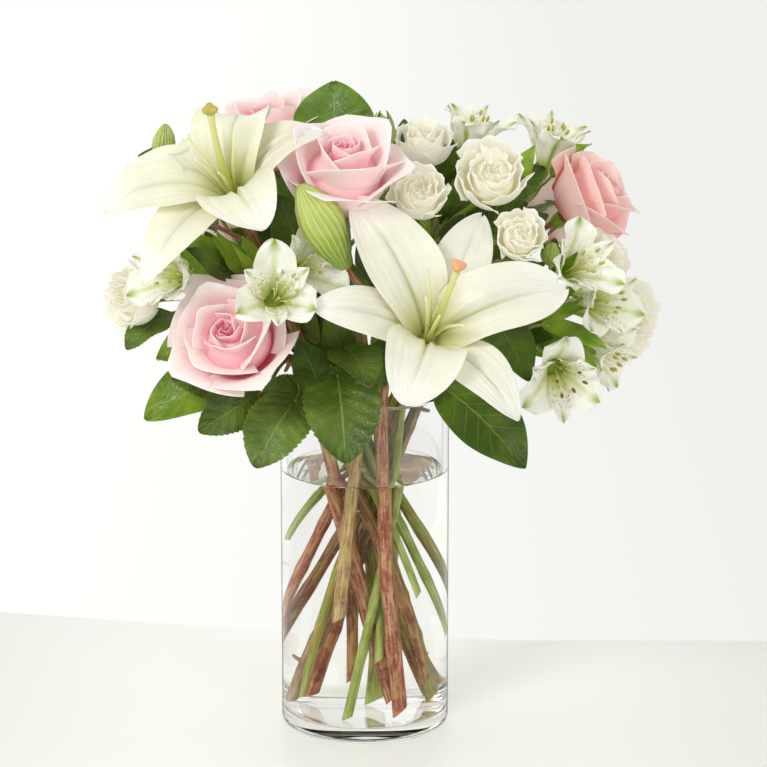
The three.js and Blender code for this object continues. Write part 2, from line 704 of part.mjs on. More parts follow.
/** Adds one solid as a named mesh whose own origin is its root. */
function addNode(name, solid, root, finish) {
  const { numProp, vertProperties, triVerts } = oneBody(solid.simplify(SMOOTHING)).getMesh();
  const geometry = new THREE.BufferGeometry();
  geometry.setAttribute("position", new THREE.BufferAttribute(vertProperties, numProp));
  geometry.setIndex(Array.from(triVerts));
  geometry.translate(-root[0], -root[1], -root[2]);
  geometry.computeVertexNormals();
  const mesh = new THREE.Mesh(geometry, new THREE.MeshStandardMaterial(finish));
  mesh.name = name;
  mesh.position.fromArray(root);
  bouquet.add(mesh);
}

/** Puts a form in its place, between those already there. */
function place(name, form, root, finish) {
  const solid = clearOf(form(0));
  taken.push({ name, room: form(GAP) });
  addNode(name, solid, root, finish);
}

const GLASS = { color: 0xe4efec, roughness: 0.03, metalness: 0, transparent: true, opacity: 0.3 };
const WATER = { color: 0xdfeeee, roughness: 0.02, metalness: 0, transparent: true, opacity: 0.4 };
const LILY_WHITE = { color: 0xf4f2e2, roughness: 0.5, metalness: 0 };
const STYLE_GREEN = { color: 0xc4cf72, roughness: 0.45, metalness: 0 };
const ROSE_PINK = { color: 0xf2b9bf, roughness: 0.6, metalness: 0 };
const ROSE_SALMON = { color: 0xeb9d9b, roughness: 0.6, metalness: 0 };
const IVORY = { color: 0xf1ead6, roughness: 0.6, metalness: 0 };
const FLORET_WHITE = { color: 0xf2f4ec, roughness: 0.5, metalness: 0 };
const BROWN_STEM = { color: 0x6f7440, roughness: 0.6, metalness: 0 };
const GREEN_STEM = { color: 0x7f9a3f, roughness: 0.55, metalness: 0 };
const LEAF_GREEN = { color: 0x4c7a22, roughness: 0.45, metalness: 0 };

const STEM_FINISH = {
  lily: GREEN_STEM,
  rose: BROWN_STEM,
  spray: BROWN_STEM,
  alstro: GREEN_STEM,
  greens: LEAF_GREEN,
};

/** The glass: a straight wall on a thick floor, with a rounded foot and rim. */
function glass() {
  const { radius, bore, height, floor, heel, rim, sides } = VASE;
  const profile = [
    [0, 0],
    [radius - heel, 0],
    [radius, heel],
    [radius, height - rim],
    [radius - rim, height],
    [bore + rim, height],
    [bore, height - rim],
    [bore, floor],
    [0, floor],
  ];
  const outline = profile.map(([out, up]) => new THREE.Vector2(out, up));
  return solidOf(new THREE.LatheGeometry(outline, sides).rotateX(Math.PI / 2));
}

addNode("vase", glass(), [0, 0, 0], GLASS);

/** A stem's own course as a form. */
function stemForm(stem) {
  const curve = courseOf(stem);
  const count = curve.points.length;
  const sides = stem.radius > STEM.stout ? 5 : 4;
  const rings = taper(count, stem.radius, stem.radius * STEM.taper);
  return round({ curve, rings, sides, slant: STEM.slant });
}

/** The blooms that a stem's fork branches to. */
const branchesOf = (name, blooms) =>
  Object.entries(blooms).filter(([key]) => key.startsWith(name.split("_")[1]));

/** A branch from a fork to a bloom, with a hip of a radius and its spread sepals under a spray rose. */
function branch(name, bloom, radius, hip = 0) {
  const fork = FORKS[name];
  const axis = axisOf(bloom);
  const from = vector(fork.root).addScaledVector(axisOf(fork), -2);
  const short = hip ? ROSE_LIFT * bloom.size - GAP : -GAP;
  const curve = sweep(from, axisOf(fork), vector(bloom.root).addScaledVector(axis, short), axis);
  const rings = taper(3, radius, radius * BRANCH.taper);
  if (hip) {
    const back = (mm) => 1 - mm / curve.getLength();
    rings.pop();
    rings.push([back(2.4 * hip), radius * BRANCH.taper], [back(1.1 * hip), hip]);
    rings.push([back(0.2 * hip), 2.2 * hip], [1, 2.4 * hip]);
  }
  return round({ curve, rings, sides: 5 });
}

/** A stem with its branches, and with the hips under its roses. */
function wholeStem(stem) {
  const { name } = stem;
  const kind = name.split("_")[0];
  const radius = stem.radius * BRANCH.share;
  const forms = [stemForm(stem)];
  if (kind === "rose") forms.push(inPlace(CARRIED[name], calyx(CARRIED[name].size)));
  if (kind === "spray") {
    for (const [, bloom] of branchesOf(name, SPRAY_ROSES)) {
      forms.push(branch(name, bloom, radius, bloom.size * BRANCH.hip));
    }
  }
  if (kind === "alstro") {
    for (const [, bloom] of branchesOf(name, FLORETS)) forms.push(branch(name, bloom, radius));
  }
  return together(forms);
}

const stemSolids = new Map();
for (const stem of STEMS) {
  const form = wholeStem(stem);
  stemSolids.set(stem.name, clearOf(form(0)));
  taken.push({ name: "stem_" + stem.name, room: form(GAP) });
}

/** What grows from the side of a stem, on a thin stalk of its own, is cut clear and fused to it. */
function growOn(stem, knot, spine, thickness, form) {
  const course = courseOf(STEMS.find(({ name }) => name === stem));
  const start = 1 - knot / (course.points.length - 1);
  const from = course.getPoint(start).addScaledVector(course.getTangent(start), knot ? 0 : -1);
  const end = spine.getPoint(STALK_END);
  const stalk = sweep(from, course.getTangent(start), end, spine.getTangent(STALK_END));
  const whole = together([round({ curve: stalk, rings: taper(3, thickness, thickness), sides: 3 }), form]);
  const shoot = clearOf(whole(0), "stem_" + stem);
  stemSolids.set(stem, oneBody(stemSolids.get(stem).add(shoot)));
  taken.push({ name: "stem_" + stem, room: whole(GAP) });
}

for (const { stem, knot, root, tip, radius } of BUDS) {
  const rings = [[0, 0.3], [0.3, 0.85], [0.6, 1, 0.1], [0.85, 0.6, 0.15], [1, 0.2]];
  const scaled = rings.map(([t, share, swell]) => [t, share * radius, swell]);
  const bud = round({ curve: line(root, tip), rings: scaled, sides: 6, lobes: 3 });
  growOn(stem, knot, line(root, tip), BUD_STALK * radius, bud);
}

for (const [name, bloom] of Object.entries(LILIES)) {
  place("lily_" + name + "_pistil", inPlace(bloom, pistil()), bloom.root, STYLE_GREEN);
  place("lily_" + name + "_petals", inPlace(bloom, lilyPetals(name)), bloom.root, LILY_WHITE);
}
for (const [name, bloom] of Object.entries(ROSES)) {
  const finish = name === "right" ? ROSE_SALMON : ROSE_PINK;
  place("rose_" + name, inPlace(bloom, rose(bloom.size)), bloom.root, finish);
}
for (const [name, bloom] of Object.entries(SPRAY_ROSES)) {
  place("spray_rose_" + name, inPlace(bloom, rose(bloom.size, SPRAY_RINGS)), bloom.root, IVORY);
}
for (const [name, bloom] of Object.entries(FLORETS)) {
  place("floret_" + name, inPlace(bloom, floret(bloom.size)), bloom.root, FLORET_WHITE);
}

for (const [stem, leaves] of Object.entries(LEAVES)) {
  for (const spec of leaves) {
    const spine = ribOf(spec);
    growOn(stem, spec.knot, spine, LEAF_STALK, leaf(spec, spine));
  }
}

for (const [name, solid] of stemSolids) {
  addNode("stem_" + name, solid, FEET[name].at, STEM_FINISH[name.split("_")[0]]);
}

/** The water: all of the bore up to its level, with a plain hole for each stem. */
function waterBody() {
  const low = VASE.floor + GAP;
  const width = VASE.bore - GAP;
  const body = new THREE.CylinderGeometry(width, width, WATER_LEVEL - low, VASE.sides);
  return solidOf(body.rotateX(Math.PI / 2).translate(0, 0, (WATER_LEVEL + low) / 2));
}

addNode("water", clearOf(waterBody()), [0, 0, 0], WATER);

export default bouquet;
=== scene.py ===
"""A mixed bunch of lilies, roses, spray roses and alstroemeria in a clear glass cylinder of water.

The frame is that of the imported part: metres, +Z up, -Y the front. Every shape is worked out in
millimetres, from the same places and sizes as the part's solids, and is turned into metres as the
mesh of its piece is made. A bloom has a frame of its own, with its root at the origin and its axis
along +Z. Every blade carries two marks on its points, which the finishes read: "blade", its place
across from -1 to 1, along from 0 to 1, and its face, 1 upper or -1 lower; and "tint", a shade of
its own.
"""

from __future__ import annotations

import logging
import math
from collections.abc import Callable, Sequence
from dataclasses import dataclass, replace
from enum import Enum
from functools import partial
from typing import NamedTuple

import bpy
import numpy as np
from mathutils import Euler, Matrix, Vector

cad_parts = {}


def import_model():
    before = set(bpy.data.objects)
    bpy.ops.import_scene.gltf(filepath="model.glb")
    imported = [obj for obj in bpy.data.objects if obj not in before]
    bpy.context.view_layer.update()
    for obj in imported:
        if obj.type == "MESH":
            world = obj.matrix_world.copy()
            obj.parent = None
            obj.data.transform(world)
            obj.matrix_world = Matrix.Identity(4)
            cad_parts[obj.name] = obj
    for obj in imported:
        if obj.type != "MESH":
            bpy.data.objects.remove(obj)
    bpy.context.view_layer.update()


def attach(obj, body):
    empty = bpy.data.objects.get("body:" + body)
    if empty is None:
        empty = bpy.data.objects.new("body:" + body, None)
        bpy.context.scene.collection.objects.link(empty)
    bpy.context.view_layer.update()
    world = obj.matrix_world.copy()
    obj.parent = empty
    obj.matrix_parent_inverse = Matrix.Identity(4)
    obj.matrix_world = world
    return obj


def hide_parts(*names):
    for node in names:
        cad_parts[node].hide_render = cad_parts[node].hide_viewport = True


LOG = logging.getLogger("bouquet")
MM = 0.001
BODY = "root"

# The backdrop's light at the left and at the right, its colour, and how far the sweep takes to change.
TONES = (1.03, 0.88)
PALE = 0xFFFFFC
SWEEP_REACH = 0.27

Array = np.ndarray
Pair = tuple[float, float]
Point = tuple[float, float, float]
Relief = Callable[[Array, Array, Array], Array]
Socket = bpy.types.NodeSocket
Material = bpy.types.Material


# ======== Small sums ========


def unit(vectors: Array) -> Array:
    """Vectors scaled to length 1."""
    return vectors / np.maximum(np.linalg.norm(vectors, axis=-1, keepdims=True), 1e-9)


def smooth(low: float, high: float, value: Array) -> Array:
    """A soft step from 0 at low to 1 at high."""
    share = np.clip((np.asarray(value, float) - low) / (high - low), 0, 1)
    return share * share * (3 - 2 * share)


def direction(turn: float, tilt: float) -> Array:
    """The way out of the bunch at a turn to the right of the front and a tilt up, in degrees."""
    around, up = math.radians(turn), math.radians(tilt)
    return np.array([math.sin(around) * math.cos(up), -math.cos(around) * math.cos(up), math.sin(up)])


def seeded(name: str) -> np.random.Generator:
    """The seeded draws of a piece."""
    return np.random.default_rng(sum(map(ord, name)))


def linear(colour: int) -> tuple[float, float, float, float]:
    """A screen colour, 0xRRGGBB, as the light it stands for."""
    parts = [((colour >> shift) & 255) / 255 for shift in (16, 8, 0)]
    return tuple(p / 12.92 if p <= 0.04045 else ((p + 0.055) / 1.055) ** 2.4 for p in parts) + (1.0,)


# ======== Curves ========


class Curve:
    """A curve in space, read at places from 0 to 1."""

    def at(self, t: Array) -> Array:
        """The points at these places."""
        raise NotImplementedError

    def heading(self, t: Array) -> Array:
        """The unit tangents at these places."""
        t = np.asarray(t, float)
        return unit(self.at(np.clip(t + 1e-4, 0, 1)) - self.at(np.clip(t - 1e-4, 0, 1)))

    def spot(self, t: float) -> tuple[Array, Array]:
        """The point and the unit tangent at one place."""
        return self.at(np.array([t]))[0], self.heading(np.array([t]))[0]

    def length(self) -> float:
        """The length of the curve."""
        return float(np.linalg.norm(np.diff(self.at(np.linspace(0, 1, 60)), axis=0), axis=1).sum())


@dataclass(frozen=True)
class Bezier(Curve):
    """A Bezier curve of any number of control points."""

    controls: tuple[Array | Point, ...]

    def at(self, t: Array) -> Array:
        """The points at these places.

        Args:
            t: Places from 0 to 1.

        Returns:
            The points.
        """
        points = np.asarray(self.controls, float)
        last = len(points) - 1
        t = np.asarray(t, float)[..., None]
        return sum(math.comb(last, k) * t**k * (1 - t) ** (last - k) * p for k, p in enumerate(points))


@dataclass(frozen=True)
class Spline(Curve):
    """A smooth curve through points, with its knots spaced by the root of their distances."""

    points: Array

    def at(self, t: Array) -> Array:
        """The points at these places.

        Args:
            t: Places from 0 to 1.

        Returns:
            The points.
        """
        first, last = (2 * self.points[i] - self.points[j] for i, j in ((0, 1), (-1, -2)))
        knots = np.vstack([first, self.points, last])
        place = np.clip(np.asarray(t, float), 0, 1) * (len(self.points) - 1)
        low = np.minimum(place.astype(int), len(self.points) - 2)
        w = (place - low)[..., None]
        p0, p1, p2, p3 = (knots[low + i] for i in range(4))
        gaps = (np.linalg.norm(b - a, axis=-1, keepdims=True) for a, b in ((p0, p1), (p1, p2), (p2, p3)))
        d0, d1, d2 = map(np.sqrt, gaps)
        m1 = ((p1 - p0) / d0 - (p2 - p0) / (d0 + d1) + (p2 - p1) / d1) * d1
        m2 = ((p2 - p1) / d1 - (p3 - p1) / (d1 + d2) + (p3 - p2) / d2) * d1
        return p1 + m1 * w + (3 * (p2 - p1) - 2 * m1 - m2) * w**2 + (2 * (p1 - p2) + m1 + m2) * w**3


def sweep(start: Array, heading: Array, end: Array, arrival: Array) -> Bezier:
    """A curve that sets off along one unit vector and arrives at its end along another."""
    reach = 0.4 * float(np.linalg.norm(end - start))
    return Bezier((start, start + reach * heading, end - reach * arrival, end))


# ======== Layout: where every bloom, bud, leaf and stem is ========


@dataclass(frozen=True)
class Stand:
    """Where a bloom or a fork stands, how it looks out, its size across and its spin."""

    root: Point
    turn: float
    tilt: float
    size: float = 50.0
    spin: float = 0.0

    def axis(self) -> Array:
        """The way the bloom looks out."""
        return direction(self.turn, self.tilt)

    def place(self, points: Array) -> Array:
        """Moves points from the bloom's own frame into that of the part.

        Args:
            points: The points, in the bloom's frame.

        Returns:
            The points in the frame of the part.
        """
        axis = self.axis()
        right = unit(np.cross([0, 0, 1], axis))
        upward = np.cross(axis, right)
        c, s = math.cos(math.radians(self.spin)), math.sin(math.radians(self.spin))
        basis = np.array([c * right + s * upward, c * upward - s * right, axis])
        return points @ basis + np.array(self.root)


class Edge(Enum):
    """The kinds of leaf edge: teeth a side, their depth, and the two powers of the outline."""

    SAWN = (17, 0.085, 0.85, 0.7)
    SMOOTH = (0, 0.0, 0.9, 0.75)
    LANCE = (0, 0.0, 0.8, 0.9)


# Some leaves take the dark green where they lie in shade and the bright green where they face the light:
# there it is partly painted shade and painted light.
class Green(Enum):
    """The greens that a leaf may have instead of its stem's own."""

    DARK = "dark"
    BRIGHT = "bright"
    SATIN = "satin"


@dataclass(frozen=True)
class LeafPlace:
    """A leaf: its knot, counted from the top of its stem, root, tip, half width, face and edge."""

    knot: int
    root: Point
    tip: Point
    half: float
    face: Point
    edge: Edge
    green: Green | None = None


def leaves(edge: Edge, *rows: tuple) -> tuple[LeafPlace, ...]:
    """Leaves with one edge, each a row of knot, root, tip, half width, face and perhaps a green."""
    return tuple(LeafPlace(*row[:5], edge, *row[5:]) for row in rows)


@dataclass(frozen=True)
class BudPlace:
    """A closed bud: its stem, knot, root, tip and radius."""

    stem: str
    knot: int
    root: Point
    tip: Point
    radius: float


LILIES = {
    "front": Stand((35, -88, 256), 16, 44),
    "left": Stand((-72, -56, 331), -25, 52),
    "back": Stand((22, 84, 268), 162, 42),
}

ROSES = {
    "front_left": Stand((-70, -69, 251), -17, 31, 70, 0),
    "top_middle": Stand((-13, -58, 336), 6, 63, 74, 30),
    "top_left": Stand((-49, 33, 341), -57, 68, 68, 70),
    "right": Stand((120, 4, 315), 75, 39, 62, 15),
    "back_left": Stand((-72, 66, 268), -136, 34, 68, 40),
    "back_right": Stand((96, 74, 290), 128, 40, 66, 100),
}

SPRAY_ROSES = {
    "top_1": Stand((34, -3, 350), 14, 65, 38, 0),
    "top_2": Stand((31, -54, 333), 8, 42, 36, 40),
    "top_3": Stand((74, -36, 340), 0, 38, 45, 80),
    "top_4": Stand((89, -68, 314), 7, 31, 33, 20),
    "left_1": Stand((-127, -27, 271), -49, 15, 40, 60),
    "right_1": Stand((132, -17, 288), 45, 22, 38, 35),
    "right_2": Stand((144, 7, 250), 47, 4, 50, 75),
    "back_1": Stand((-14, 62, 340), -170, 62, 40, 15),
    "back_2": Stand((54, 48, 338), 140, 60, 38, 55),
    "back_3": Stand((-24, 104, 262), -165, 14, 40, 25),
}

FLORETS = {
    "left_1": Stand((-52, -96, 283), 6, 26, 50, 90),
    "left_2": Stand((-45, -76, 296), 35, 24, 44, 70),
    "left_3": Stand((-97, -57, 289), -40, 17, 46, 100),
    "top_1": Stand((60, 23, 340), 70, 77, 44, 60),
    "top_2": Stand((107, 34, 331), 67, 76, 46, 90),
    "right_1": Stand((111, -47, 287), 35, 29, 46, 80),
    "right_2": Stand((125, -35, 270), 38, 11, 44, 95),
    "right_3": Stand((110, -42, 237), 9, -7, 50, 90),
    "right_4": Stand((124, -26, 246), 60, -18, 42, 60),
    "back_1": Stand((118, 50, 258), 104, 12, 46, 90),
    "back_2": Stand((80, 92, 236), 150, 0, 46, 80),
}

FORKS = {
    "spray_top": Stand((38, -26, 300), 40, 75),
    "spray_left": Stand((-86, -6, 262), -80, 35),
    "spray_right": Stand((98, -6, 258), 80, 35),
    "spray_back": Stand((-2, 62, 286), 180, 70),
    "alstro_left": Stand((-56, -52, 262), -40, 40),
    "alstro_top": Stand((66, 16, 300), 80, 65),
    "alstro_right": Stand((86, -34, 250), 60, 25),
    "alstro_back": Stand((66, 74, 244), 140, 20),
    "greens_top": Stand((-16, 8, 340), -60, 85),
    "greens_left": Stand((-78, 10, 300), -90, 50),
    "greens_right": Stand((84, 22, 292), 90, 55),
}

BUDS = (
    BudPlace("lily_front", 1, (-10, -88, 303), (-36, -99, 353), 13),
    BudPlace("lily_left", 1, (-122, 4, 342), (-118, 6, 370), 7),
    BudPlace("spray_top", 0, (12, -22, 360), (11, -24, 380), 6.5),
    BudPlace("spray_right", 0, (108, -62, 300), (109, -74, 314), 6),
)

# The leaves of each stem, those of the part's solids first.
LEAVES: dict[str, tuple[LeafPlace, ...]] = {
    "greens_top": leaves(
        Edge.SMOOTH,
        (0, (-16, 6, 350), (-18, 8, 395), 25, (-10, -90, 30), Green.SATIN),
        (1, (-20, 22, 338), (-26, 66, 368), 20, (0, -40, 80), Green.SATIN),
    ),
    "greens_left": leaves(
        Edge.SMOOTH,
        (0, (-96, 4, 328), (-134, 0, 352), 14, (0, -60, 70)),
        (1, (-90, 26, 300), (-132, 50, 322), 17, (-30, 20, 80)),
        # These two leaves face the light: their bright green is partly painted light.
        (2, (-52, -36, 236), (-128, -62, 206), 21, (-10, -70, 70), Green.BRIGHT),
        (2, (-58, -26, 246), (-122, -50, 240), 18, (0, -60, 80), Green.BRIGHT),
        (2, (-20, -45, 214), (-38, -62, 255), 13, (-10, -90, 20)),
        (1, (-38, -22, 284), (-60, -34, 329), 13, (0, -90, 20)),
        (1, (-19, -18, 265), (-38, -30, 312), 12, (-10, -80, 30)),
        (1, (-74, -25, 267), (-93, -30, 312), 14, (-20, -80, 30)),
    ),
    "rose_front_left": leaves(
        Edge.SAWN,
        (2, (-37, -66, 222), (-63, -95, 186), 20, (-20, -90, 40)),
        (2, (-16, -64, 238), (-10, -100, 190), 24, (10, -90, 30)),
        (2, (-11, -45, 215), (8, -66, 252), 14, (10, -90, 10)),
        (2, (-8, -35, 216), (-20, -48, 272), 12, (0, -90, 20)),
        # These two leaves lie in the shade of the front left rose: their dark green is partly painted shade.
        (2, (-61, -58, 226), (-112, -74, 234), 15, (-10, -80, 40), Green.DARK),
        (2, (-59, -60, 222), (-96, -82, 204), 15, (-10, -90, 30), Green.DARK),
        (2, (-34, -48, 223), (-62, -60, 217), 11, (0, -90, 30)),
        (2, (8, -50, 226), (-21, -72, 235), 12, (0, -80, 50)),
        (2, (-14, 4, 222), (-34, -4, 276), 15, (-6, -90, 14)),
    ),
    "rose_top_middle": (
        leaves(Edge.SAWN, (3, (-12, -56, 248), (4, -102, 236), 16, (0, -40, 90)))
        + leaves(Edge.SMOOTH, (1, (-32, -52, 292), (-50, -60, 340), 14, (10, -90, 20)))
        + leaves(
            Edge.SAWN,
            (1, (-2, -40, 255), (-9, -52, 299), 12, (0, -90, 20)),
            (1, (12, -10, 248), (33, -20, 299), 13, (0, -90, 20)),
        )
    ),
    "greens_right": leaves(
        Edge.SMOOTH,
        (2, (42, -50, 226), (94, -77, 181), 21, (30, -80, 40)),
        (2, (74, -34, 262), (96, -72, 232), 14, (20, -80, 30)),
        (0, (92, 40, 296), (136, 58, 316), 17, (30, 20, 80)),
        (2, (1, -30, 219), (22, -50, 257), 12, (0, -90, 20)),
        (2, (75, -15, 246), (119, -40, 255), 12, (0, -80, 40)),
        (1, (69, -5, 262), (107, -28, 293), 12, (0, -80, 40)),
        (0, (63, 0, 292), (109, -14, 319), 12, (0, -80, 30)),
    ),
    "alstro_left": leaves(
        Edge.LANCE,
        (0, (-76, -48, 288), (-106, -72, 320), 9, (40, -80, 30)),
        (0, (-66, -52, 290), (-84, -80, 322), 8, (-20, -80, 30)),
        (0, (-84, -25, 270), (-109, -34, 304), 12, (-10, -80, 40)),
        (0, (-62, -40, 276), (-70, -62, 316), 9, (30, -80, 20)),
        (0, (-74, -62, 292), (-102, -86, 314), 8, (-10, -80, 40), Green.DARK),
        (0, (-70, -62, 296), (-86, -84, 320), 7, (20, -80, 30), Green.BRIGHT),
    ),
    "alstro_top": leaves(
        Edge.LANCE,
        (0, (112, 16, 336), (136, 18, 356), 6, (-30, -50, 60)),
        (0, (84, 12, 326), (101, 0, 358), 8, (0, -90, 20)),
        (0, (60, 14, 322), (50, 4, 362), 6, (0, -90, 20)),
    ),
    "alstro_right": leaves(
        Edge.LANCE,
        (0, (104, -56, 262), (142, -70, 250), 7, (0, -60, 60)),
        (0, (93, -22, 240), (139, -46, 242), 8, (0, -70, 50)),
        (0, (98, -40, 258), (130, -66, 274), 6, (0, -70, 50)),
        (0, (100, -30, 262), (136, -40, 300), 6, (20, -80, 20)),
        (0, (103, -50, 265), (136, -66, 238), 5.5, (20, -80, 40), Green.BRIGHT),
        (0, (107, -44, 284), (124, -60, 306), 5, (10, -80, 20), Green.BRIGHT),
    ),
    "alstro_back": leaves(Edge.LANCE, (0, (90, 84, 262), (100, 118, 280), 8, (0, -30, 80))),
    "spray_left": leaves(Edge.SAWN, (0, (-112, -24, 262), (-140, -44, 244), 11, (-30, -60, 60))),
    "rose_back_left": leaves(
        Edge.SAWN,
        (2, (-52, 58, 232), (-104, 96, 206), 20, (-30, 60, 60)),
        (1, (-34, 76, 246), (-56, 128, 232), 18, (-20, 50, 70)),
        (1, (-86, 48, 268), (-132, 74, 262), 16, (-20, 20, 90)),
    ),
    "rose_back_right": leaves(
        Edge.SAWN,
        (2, (56, 58, 238), (92, 112, 206), 19, (30, 60, 60)),
        (2, (88, 42, 256), (138, 72, 236), 18, (40, 20, 80)),
    ),
    "lily_back": leaves(Edge.LANCE, (2, (10, 60, 240), (14, 124, 216), 12, (0, 60, 70))),
    "spray_back": leaves(Edge.SAWN, (0, (-30, 72, 312), (-58, 104, 334), 13, (-20, 20, 80))),
    "spray_top": leaves(
        Edge.SAWN,
        (0, (45, 10, 320), (52, 0, 362), 10, (0, -90, 20)),
        (0, (20, 8, 333), (24, 0, 374), 9, (0, -90, 20)),
        (0, (64, -20, 306), (96, -34, 330), 12, (0, -80, 40), Green.DARK),
        (0, (52, -30, 304), (58, -48, 326), 11, (0, -90, 20), Green.DARK),
        (0, (46, -10, 312), (78, -6, 352), 12, (0, -90, 20)),
        (0, (66, 0, 316), (108, 6, 344), 12, (0, -80, 30), Green.DARK),
    ),
}

# More leaves all round: turn from the front, root out and up, tip out and up, and half width.
UNDERSTORY = (
    (62, 34, 226, 92, 262, 14),
    (88, 30, 232, 96, 292, 12),
    (104, 34, 222, 98, 250, 15),
    (122, 28, 240, 84, 296, 13),
    (141, 32, 224, 96, 262, 14),
    (160, 30, 226, 78, 240, 15),
    (176, 26, 246, 74, 292, 13),
    (196, 34, 222, 92, 250, 14),
    (214, 28, 238, 88, 286, 13),
    (236, 34, 224, 98, 252, 15),
    (255, 30, 236, 92, 292, 13),
    (272, 34, 226, 100, 262, 14),
    (292, 30, 240, 90, 300, 12),
    (265, 26, 282, 66, 328, 14),
    (284, 40, 270, 84, 314, 13),
    (242, 30, 264, 78, 318, 13),
    (251, 42, 250, 96, 274, 15),
    (281, 44, 246, 98, 268, 14),
    (228, 30, 290, 60, 334, 12),
    (78, 30, 272, 74, 318, 13),
    (112, 34, 262, 84, 306, 13),
    (30, 18, 288, 46, 330, 11),
    (95, 22, 286, 62, 322, 12),
    (150, 20, 290, 52, 334, 12),
    (205, 22, 286, 58, 330, 12),
    (262, 18, 292, 54, 338, 12),
    (320, 20, 284, 48, 320, 11),
)


def understory() -> dict[str, list[LeafPlace]]:
    """The leaves all round, each on the leafy stem of its own side.

    Returns:
        The leaves of each stem.
    """
    found: dict[str, list[LeafPlace]] = {"greens_left": [], "greens_right": []}
    for i, (turn, out, up, far, high, half) in enumerate(UNDERSTORY):
        way = direction(turn, 0)
        root = tuple(way * out + (0, 0, up))
        tip = tuple(direction(turn + 8 * (-1) ** i, 0) * far + (0, 0, high))
        face = tuple(0.6 * way + (0, 0, 0.8))
        green = (Green.DARK, Green.BRIGHT, Green.SATIN)[i % 3]
        leaf = LeafPlace(1 if up > 260 else 2, root, tip, half, face, Edge.SMOOTH, green)
        found["greens_right" if turn < 180 else "greens_left"].append(leaf)
    return found


# ======== Finishes ========


class Marks(NamedTuple):
    """The marks of a blade, as a material reads them."""

    across: Socket
    along: Socket
    face: Socket
    tint: Socket


